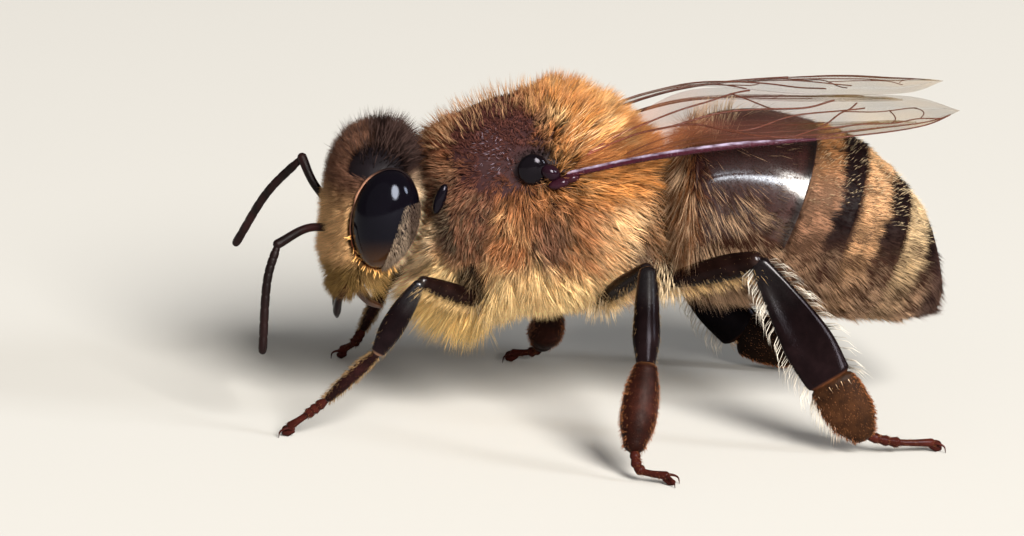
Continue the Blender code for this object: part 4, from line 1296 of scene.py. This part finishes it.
def thorax_look(points, normals, along, turn):
    """Fur of the thorax: worn velvet in front of the wings, a fan of long hair under them.

    flow is the lie of the hair in profile; the fur stands up on the top and lies flat on
    the worn patch. The colours are laid over each other, with the black of the wing root last.
    """
    x, z = points[:, 0], points[:, 2]
    zone = thorax_zones(points)
    velvet, flank, low, top, waist = (zone[name] for name in ("velvet", "flank", "low", "top", "waist"))
    collar, chest, golden, black = (zone[name] for name in ("collar", "chest", "golden", "black"))
    fan = np.clip((x + 1.5) / 1.3, -0.35, 1.1)
    drop = -0.95 + 1.05 * ease(4.9, 6.3, z) + 0.35 * golden
    flow = np.stack([fan - 0.9 * collar - 0.8 * chest, 0 * x, drop + 0.5 * collar], axis=1)
    flow = blend(flow, np.array([0.40, 0.0, -0.90]), waist)
    sway = ripple(points, 0.60, 21) * 0.26 + ripple(points, 0.24, 22) * 0.34 + ripple(points, 0.10, 24) * 0.18
    stand = 0.55 + 0.5 * top + 0.2 * collar - 0.25 * velvet + 0.3 * waist
    start = normals * stand[:, None] + flow * (1 - 0.45 * top)[:, None] + sway * 0.7
    finish = normals * (0.05 + 0.55 * top + 0.25 * low)[:, None] + flow + sway * 1.4
    length = 0.60 + 0.12 * low + 0.55 * zone["beard"] + 0.08 * zone["rear"] - 0.12 * top * (1 - golden)
    length = length - 0.12 * collar - 0.08 * chest + 0.08 * waist
    length = (length - 0.20 * ease(3.4, 2.8, z) * ease(-1.8, -1.5, x)) * (1 - 0.45 * zone["hip"])
    length = length * (1 - 0.74 * velvet) * (1 - 0.42 * flank * (1 - velvet)) * (1 - 0.5 * black)
    tone = ripple(points, 0.55, 23)[:, 0] * 0.30
    fleck = ripple(points, 0.16, 25)[:, 0]
    colour = layered(np.tile((0.43, 0.165, 0.062), (len(points), 1)), (
        ((0.31, 0.115, 0.024), np.clip(golden + tone, 0, 1) * golden),
        # the cream chest and beard are made lighter for the light thrown up from below: partly their own
        # colour, partly painted light
        (blend((1.0, 0.72, 0.36), (0.84, 0.57, 0.22), zone["beard"]), np.clip(low + tone, 0, 1)),
        ((1.0, 0.60, 0.29), zone["rear"] * (1 - low) * 0.9),
        ((0.60, 0.24, 0.062), zone["amber"]),
        ((0.24, 0.085, 0.036), collar * (1 - low)),
        ((0.20, 0.085, 0.050), np.clip(zone["streak"] * 0.9 + tone * zone["streak"], 0, 1)),
        ((0.20, 0.074, 0.042), flank * (1 - low) * 0.95),
        ((0.090, 0.032, 0.025), velvet),
        # the side behind the cheek is cream raised near white: partly its own colour, partly painted light
        # against the shade there
        ((1.0, 0.74, 0.46), zone["cheek"]),
        ((0.30, 0.135, 0.058), waist),
        # dark in the gap under the waist: partly painted shade, partly the dark coxa behind the fur
        ((0.07, 0.032, 0.024), np.clip(zone["gap"] * (0.9 + tone * 2), 0, 1)),
        # painted shadow along the line behind the head; the hip is darkened for the black coxa under its fur
        ((0.030, 0.014, 0.012), np.maximum(zone["painted_neck_shadow"], zone["hip"]) * 0.9),
        ((0.010, 0.005, 0.006), black)))
    mottle = 1 + (0.50 * fleck + 0.22 * ripple(points, 0.34, 26)[:, 0]) * (1 - velvet)
    colour = colour * mottle.clip(0.25, 2)[:, None]
    # painted light: the roots of the low cream fur are left lighter, for the light from below
    root = colour * (0.42 + 0.3 * velvet + 0.2 * low - 0.2 * waist)[:, None]
    pale = 0.16 + 0.50 * zone["rear"] * (1 - waist) + 0.12 * flank - 0.4 * velvet + 0.15 * waist
    tip = blend(colour * 1.25, (0.95, 0.72, 0.46), np.clip(pale, 0, 1) * RNG.uniform(0, 1, len(points)))
    # painted highlight: about one hair in six on the worn spot gets a pale blue-grey tip, for the sparkle of
    # its sheen
    painted_glint = zone["sheen"] * (RNG.uniform(0, 1, len(points)) < 0.16)
    width = 0.0088 - 0.0025 * waist
    return start, finish, length, width, root, blend(tip, (0.42, 0.36, 0.46), painted_glint)


def make_thorax_coat():
    """Fur of the thorax in pieces small enough to keep every face, and a thin upright halo."""
    for part in range(4):
        fur(f"thorax_coat_{part + 1}", trunk_skin, thorax_keep, thorax_look, axis_point, (0.13, 0.97),
            kind="thorax_coat")

    def halo_keep(points, normals, along, turn):
        """Only on the back, where hairs stand over the short fur."""
        return ease(5.9, 6.4, points[:, 2]) * ease(0.95, 0.55, np.abs(points[:, 1]))

    def halo_look(points, normals, along, turn):
        """Long fine hairs that stand up, brown in front and golden behind; the brown is painted lighter for
        the light through them.
        """
        sway = ripple(points, 0.3, 31) * 0.3 + RNG.normal(0, 0.12, points.shape)
        golden = ease(-1.8, -0.8, points[:, 0])
        # painted light: the brown is lighter than the fur under it, for the light shining through these fine
        # hairs
        colour = blend((0.34, 0.19, 0.10), (0.62, 0.31, 0.09), golden)
        start, finish = normals + sway * 0.5, normals + sway + (0.15, 0, 0)
        length, width = 0.50 - 0.05 * golden, 0.0065
        return start, finish, length, width, colour * 0.7, colour * 1.35

    def fan_keep(points, normals, along, turn):
        """Above and behind each wing root."""
        return near(points, (-0.15, 1.55, 6.30), (0.80, 0.75, 0.42), (0.3, 1.0))

    def fan_look(points, normals, along, turn):
        """Long cream hairs that fan up and back over the root of the wing."""
        sway = ripple(points, 0.25, 32) * 0.25 + RNG.normal(0, 0.10, points.shape)
        golden = ease(-0.3, 0.5, ripple(points, 0.2, 33)[:, 0])
        colour = blend((0.95, 0.66, 0.38), (0.80, 0.42, 0.14), golden)
        lift = np.array([0.75, 0.0, 0.42])
        start, finish = normals * 0.7 + lift + sway, normals * 0.2 + lift * 1.4 + sway
        length, width = 0.72, 0.0085
        return start, finish, length, width, colour * 0.5, colour * 1.2

    fur("thorax_halo", trunk_skin, halo_keep, halo_look, axis_point, (0.13, 0.9))
    fur("wing_root_fan", trunk_skin, fan_keep, fan_look, axis_point, (0.3, 0.9))


def abdomen_zones(points, along):
    """Masks of the abdomen: pale felt bands, glossy back, hairy front and soft underside."""
    station, height = abdomen_station(along), abdomen_height(points)
    band, plate = abdomen_band(points, station)
    gloss_line = 0.60 + 0.22 * ease(2.9, 1.1, station) + 0.04 * ripple(points, 0.3, 44)[:, 0]
    glossy = ease(gloss_line, gloss_line + 0.10, height)
    return {"station": station, "height": height, "band": band, "plate": plate,
            "low": ease(0.55, 0.22, height), "front": ease(2.95, 1.5, station),
            "glossy": glossy * ease(3.0, 2.97, station) * ease(0.9, 1.3, station)}


def abdomen_keep(points, normals, along, turn):
    """Sparse on the glossy back of the front plates, dense on the bands and the belly."""
    zone = abdomen_zones(points, along)
    upper = ease(0.35, 0.6, zone["height"])
    keep = 0.90 - 0.20 * upper + 0.90 * zone["band"] * upper - 0.55 * zone["front"]
    keep += 0.55 * ease(1.20, 0.95, zone["station"])
    keep *= 1 - 0.65 * zone["front"] * ease(0.72, 0.86, zone["height"])
    return np.clip(keep, 0.02, 2) * (1 - 0.93 * zone["glossy"])


# For each plate: the height where its hair turns black, and the colour of its felt.
BLACK_LINES = (0.38, 0.38, 0.36, 0.26, 0.16, 0.16)
FELT_COLOURS = ((0.40, 0.22, 0.10), (0.40, 0.22, 0.10), (0.66, 0.30, 0.115), (1.0, 0.56, 0.25),
                (0.90, 0.66, 0.37), (0.24, 0.14, 0.11))


def abdomen_look(points, normals, along, turn):
    """Short hair lying back and down; felt on the bands, longer towards the belly.

    flow is the lie of the hair, laid flat on the skin, and strand gathers the hair in
    paler and darker strands. The felt fades towards the flank, most on the third plate.
    """
    zone = abdomen_zones(points, along)
    low, front, band, station = zone["low"], zone["front"], zone["band"], zone["station"]
    plate, height = zone["plate"], zone["height"]
    first = ease(1.20, 0.95, station)
    black_line = np.array(BLACK_LINES)[plate]
    upper = ease(black_line, black_line + 0.22, height)
    back = 0.80 - 0.40 * front + 1.0 * first
    rise = -0.30 - 0.50 * (1 - upper) - 0.40 * front - 0.5 * first
    flow = np.stack([back, 0 * low, rise], axis=1)
    flow = unit(flow - normals * np.einsum("ij,ij->i", flow, normals)[:, None])
    sway = ripple(points, 0.35, 41) * 0.20 + ripple(points, 0.12, 42) * 0.18
    stand = 0.24 + 0.16 * low + 0.20 * front + 0.10 * band * upper
    strand = 0.30 + 0.6 * ripple(points, 0.30, 43)[:, 0] + RNG.normal(0, 0.35, len(points))
    strand = ease(0.25, 0.75, strand)
    start = normals * (stand + 0.30 + 0.15 * strand)[:, None] + flow + sway
    finish = normals * (stand - 0.10)[:, None] + flow + sway
    length = (0.17 + 0.10 * low + 0.33 * front) * (1 + 0.35 * strand)
    faded = ease(0.94, 0.74, height) * (0.90 - 0.3 * (plate - 2))
    faded_felt = blend((0.40, 0.22, 0.14), (0.66, 0.42, 0.25), (plate - 2) / 2)
    felt = blend(np.array(FELT_COLOURS)[plate], faded_felt, faded) * (0.52 + 0.62 * strand)[:, None]
    shade = (1 - band) * (plate > 1) * ease(0.12, 0.50, height)
    colour = layered(blend((0.12, 0.055, 0.033), (0.66, 0.42, 0.26), strand), (
        ((0.075, 0.032, 0.023), shade * (0.95 - 0.45 * strand)),
        ((0.014, 0.005, 0.005), upper * (1 - 0.8 * front)),
        (felt, band * (0.25 + 0.75 * upper)),
        (blend((0.085, 0.032, 0.017), (0.76, 0.50, 0.31), strand), front),
        ((0.34, 0.135, 0.050), 0.6 * first * (1 - strand)),
        (blend((0.035, 0.014, 0.014), (0.15, 0.080, 0.066), strand), ease(5.8, 6.3, station) * 0.9)))
    width = 0.0052
    return start, finish, length, width, colour * 0.6, colour * 1.25


def make_abdomen_coat():
    """Hair of the abdomen in pieces small enough to keep every face, and its pale upright fuzz."""
    for part in range(2):
        fur(f"abdomen_coat_{part + 1}", abdomen_skin, abdomen_keep, abdomen_look, axis_point, (0.02, 0.985),
            rings=1, kind="abdomen_coat")

    def fuzz_keep(points, normals, along, turn):
        """Along the back: on the front plate, and again from the third plate on."""
        station = abdomen_station(along)
        back = ease(0.3, 0.8, normals[:, 2]) * (1 - ease(3.0, 2.9, station) * ease(0.93, 0.80, normals[:, 2]))
        first = ease(1.7, 1.2, station) * ease(0.3, 0.7, station)
        third = ease(3.0, 3.1, station) * (0.12 + 0.8 * abdomen_band(points, station)[0])
        return back * (first + third)

    def fuzz_look(points, normals, along, turn):
        """Fine pale hairs that stand up, longest at the front."""
        front = ease(2.5, 1.5, abdomen_station(along))
        sway = RNG.normal(0, 0.14, points.shape)
        colour = np.tile((0.62, 0.48, 0.30), (len(points), 1))
        start, finish = normals + sway * 0.5 + (0.25, 0, 0), normals + sway + (0.45, 0, 0)
        length, width = 0.16 + 0.30 * front, 0.0050
        return start, finish, length, width, colour * 0.6, colour * 1.3

    fur("abdomen_fuzz", abdomen_skin, fuzz_keep, fuzz_look, axis_point, (0.04, 0.95))


def head_keep(points, normals, along, turn):
    """No fur in the eyes or on the shiny crown above each eye, and thin fur on the mouth shield."""
    keep = 1.0 - in_eye(points, 0.02)
    keep *= 1 - near(points, (-5.40, 0.0, 3.35), (0.5, 0.62, 0.42)) * 0.85
    keep *= 1 - near(points, (-4.62, 0.95, 5.68), (0.70, 0.52, 0.52))
    keep *= 1 - near(points, (-5.12, 0.95, 3.25), (0.40, 0.6, 0.48)) * 0.70
    return keep


def head_look(points, normals, along, turn):
    """Fuzz of the head: dark brown on forehead and crown, olive tan on the face, cream behind."""
    x, z = points[:, 0], points[:, 2]
    crown = ease(5.2, 5.7, z)
    rear = ease(-4.65, -4.30, x) * ease(5.6, 5.0, z)
    face = ease(-4.9, -5.2, x) * ease(5.2, 4.7, z)
    chin = ease(3.7, 3.2, z) * ease(-5.05, -4.75, x)
    olive = ease(3.9, 3.4, z) * (1 - chin)
    tuft = ease(-4.85, -4.45, x) * ease(5.2, 5.6, z)
    sway = ripple(points, 0.30, 51) * 0.18 + ripple(points, 0.12, 52) * 0.18
    back = -0.35 + 0.1 * crown + 0.45 * rear + 0.55 * chin
    rise = 0.30 * crown - 0.45 * face - 0.8 * rear - 0.9 * chin
    flow = np.stack([back, 0 * x, rise], axis=1)
    start = normals * 0.9 + flow * 0.5 + sway
    finish = normals * (0.55 + 0.3 * crown)[:, None] + flow + sway * 1.3
    length = 0.28 + 0.04 * crown + 0.26 * rear + 0.34 * chin - 0.06 * olive + 0.06 * face
    colour = layered(blend((0.66, 0.38, 0.17), (0.150, 0.072, 0.046), ease(4.6, 5.4, z)), (
        ((1.0, 0.76, 0.50), np.clip(rear + 0.1 * face, 0, 1)),
        ((0.70, 0.46, 0.17), chin),
        ((0.27, 0.16, 0.055), olive),
        ((0.008, 0.004, 0.004), tuft * 0.95)))
    colour = colour * RNG.uniform(0.55, 1.35, (len(points), 1))
    # painted light: the cream fur behind the eye gets lighter roots and brighter tips, against the shade it
    # lies in
    root, tip = colour * (0.50 + 0.5 * rear)[:, None], colour * (1.4 + 0.3 * rear)[:, None]
    width = 0.0062
    return start, finish, length, width, root, tip


def tuft_keep(points, normals, along, turn):
    """On top of the head, thickest at its back."""
    return ease(5.6, 5.95, points[:, 2]) * (0.25 + ease(-4.7, -4.3, points[:, 0]))


def tuft_look(points, normals, along, turn):
    """Long fine dark hairs that stand up and a little back."""
    sway = RNG.normal(0, 0.16, points.shape)
    colour = np.tile((0.035, 0.020, 0.017), (len(points), 1))
    back = normals + (0.25, 0, 0.2) + sway
    length, width = 0.50, 0.0075
    return back, back + sway, length, width, colour * 0.6, colour * 1.6


def eye_hair_keep(points, normals, along, turn):
    """On the rear lower part of the eye only, on its outer side."""
    outside = ease(1.38, 1.48, np.abs(points[:, 1]))
    behind = ease(-0.03, 0.10, points[:, 0] + 4.08 + (4.85 - points[:, 2]) * 0.32)
    return outside * behind * ease(5.1, 4.8, points[:, 2])


def eye_hair_look(points, normals, along, turn):
    """Short pale hairs that stand off the lens and droop a little, darker at the rear."""
    down = np.array([0.1, 0.0, -0.8])
    tone = blend((0.34, 0.25, 0.18), (0.10, 0.065, 0.048), ease(-4.02, -3.88, points[:, 0]))
    tone = tone * RNG.uniform(0.6, 1.4, (len(points), 1))
    length, width = 0.13, 0.0040
    return normals * 0.45 + down, normals * 0.15 + down, length, width, tone * 0.7, tone


def eye_middle(points):
    """Centre of the eye that each point lies on."""
    return EYE_CENTRE * np.where(points[:, 1:2] < 0, (1, -1, 1), 1)


def make_head_coat():
    """Fuzz of the head, the upright tuft of its crown, the hairs on the eyes and the lashes."""
    for part in range(2):
        fur(f"head_coat_{part + 1}", head_skin, head_keep, head_look, head_axis, (0.04, 1.0),
            rings=1, kind="head_coat")
    fur("crown_tuft", head_skin, tuft_keep, tuft_look, head_axis, (0.7, 1.0))
    for side, sign in (("left", -1), ("right", 1)):
        fur(f"{side}_eye_hairs", eye_skin(side), eye_hair_keep, eye_hair_look, eye_middle, (0.02, 0.98),
            kind="eye_hairs")
        make_lashes(side, sign)


def make_lashes(side, sign):
    """Golden bristles that radiate from the lower front rim of the eye."""
    count = HAIR_COUNTS["lashes"]
    angle = RNG.uniform(math.radians(200), math.radians(305), count)
    ring = eye_outline(angle, 0.0, 0.02)
    outward = unit(ring * (1, 0, 1))
    roots = (EYE_CENTRE + ring) * (1, sign, 1)
    normals = np.tile([0.0, sign, 0.0], (count, 1))
    lift = np.array([0.0, 0.55 * sign, 0.0])
    tint = np.tile((0.85, 0.48, 0.16), (count, 1)) * RNG.uniform(0.7, 1.3, (count, 1))
    place = np.stack([angle / TURN, np.full(count, 0.5)], axis=1) * 0.9
    sway = RNG.normal(0, 0.28, (count, 3))
    start, finish = outward * 0.5 + lift + sway, outward + lift * 0.4 + sway
    length, width = RNG.uniform(0.12, 0.34, count), 0.012
    lashes = grow(f"{side}_lashes", roots, normals, start, finish, length, width,
                  tint * (0.5, 0.35, 0.3), tint * 1.3, place, BRISTLE)


# ---------------------------------------------------------------- stage
FLOOR_REACH = 1.5                           # metres from the middle of the floor to its edge
FLOOR_COLOUR = (0.52, 0.51, 0.49, 1.0)
SURROUND_COLOUR, SURROUND_STRENGTH = (1.0, 0.97, 0.92, 1.0), 0.17
# Soft oval lights: name, direction, distance in metres, power in watts, size and colour.
LIGHTS = [
    ("key", (0.33, -0.77, 0.55), 0.7, 13.2, (0.26, 0.38), (1.0, 0.96, 0.89)),
    ("side", (0.85, -0.35, 0.45), 0.7, 2.0, (0.12, 0.18), (0.92, 0.96, 1.0)),
    ("window", (-0.08, -0.80, 0.60), 0.7, 3.4, (0.46, 0.09), (0.86, 0.92, 1.0)),
    ("fill", (-0.45, -0.82, 0.38), 1.3, 2.8, (2.2, 2.0), (1.0, 0.97, 0.93)),
]


def make_stage():
    """Pale floor, four soft oval lights and an even pale surround."""
    mesh = bpy.data.meshes.new("floor")
    corners = [(x * FLOOR_REACH, y * FLOOR_REACH, 0) for x, y in ((-1, -1), (1, -1), (1, 1), (-1, 1))]
    mesh.from_pydata(corners, [], [(0, 1, 2, 3)])
    mesh.materials.append(new_material("floor", {"Roughness": 0.85, "Base Color": FLOOR_COLOUR}))
    floor = bpy.data.objects.new("floor", mesh)
    bpy.context.scene.collection.objects.link(floor)
    world = bpy.data.worlds.new("surround")
    world.use_nodes = True
    background = world.node_tree.nodes["Background"]
    background.inputs["Color"].default_value = SURROUND_COLOUR
    background.inputs["Strength"].default_value = SURROUND_STRENGTH
    bpy.context.scene.world = world
    for name, towards, distance, power, size, colour in LIGHTS:
        light = bpy.data.lights.new(name, "AREA")
        light.shape = "ELLIPSE"
        light.size, light.size_y = size
        light.energy = power
        light.color = colour
        lamp = bpy.data.objects.new(name, light)
        lamp.location = Vector(towards).normalized() * distance
        lamp.rotation_euler = Vector(towards).to_track_quat("Z", "Y").to_euler()
        bpy.context.scene.collection.objects.link(lamp)
    bpy.context.scene.view_settings.view_transform = "Standard"


def link_window(*names):
    """Let the window's light fall only on the named pieces, for a long cool shine."""
    receivers = bpy.data.collections.new("lit by the window")
    for name in names:
        receivers.objects.link(bpy.data.objects[name])
    bpy.data.objects["window"].light_linking.receiver_collection = receivers


def make_camera():
    """Long lens a little above the bee, turned slightly towards its head."""
    azimuth, elevation = math.radians(CAMERA_AZIMUTH), math.radians(CAMERA_ELEVATION)
    level = math.cos(elevation)
    back = Vector((math.sin(azimuth) * level, -math.cos(azimuth) * level, math.sin(elevation)))
    target = Vector((CAMERA_TARGET + PLACE) * MM)
    lens = bpy.data.cameras.new("camera")
    lens.lens = CAMERA_LENS
    lens.clip_start, lens.clip_end = 0.005, 10.0
    camera = bpy.data.objects.new("camera", lens)
    camera.location = target + back * CAMERA_DISTANCE * MM
    camera.rotation_euler = (-back).to_track_quat("-Z", "Y").to_euler()
    bpy.context.scene.collection.objects.link(camera)
    bpy.context.scene.camera = camera


make_stage()
make_camera()
make_skin()
make_eyes()
make_mouth()
make_knuckles()
for leg in LEGS:
    make_leg(leg)
for side in ("left", "right"):
    make_feeler(side)
    make_wing(side, False)
    make_wing(side, True)
make_thorax_coat()
make_abdomen_coat()
make_head_coat()
link_window("bee_skin", "left_front_tibia_shell", "right_front_tibia_shell")
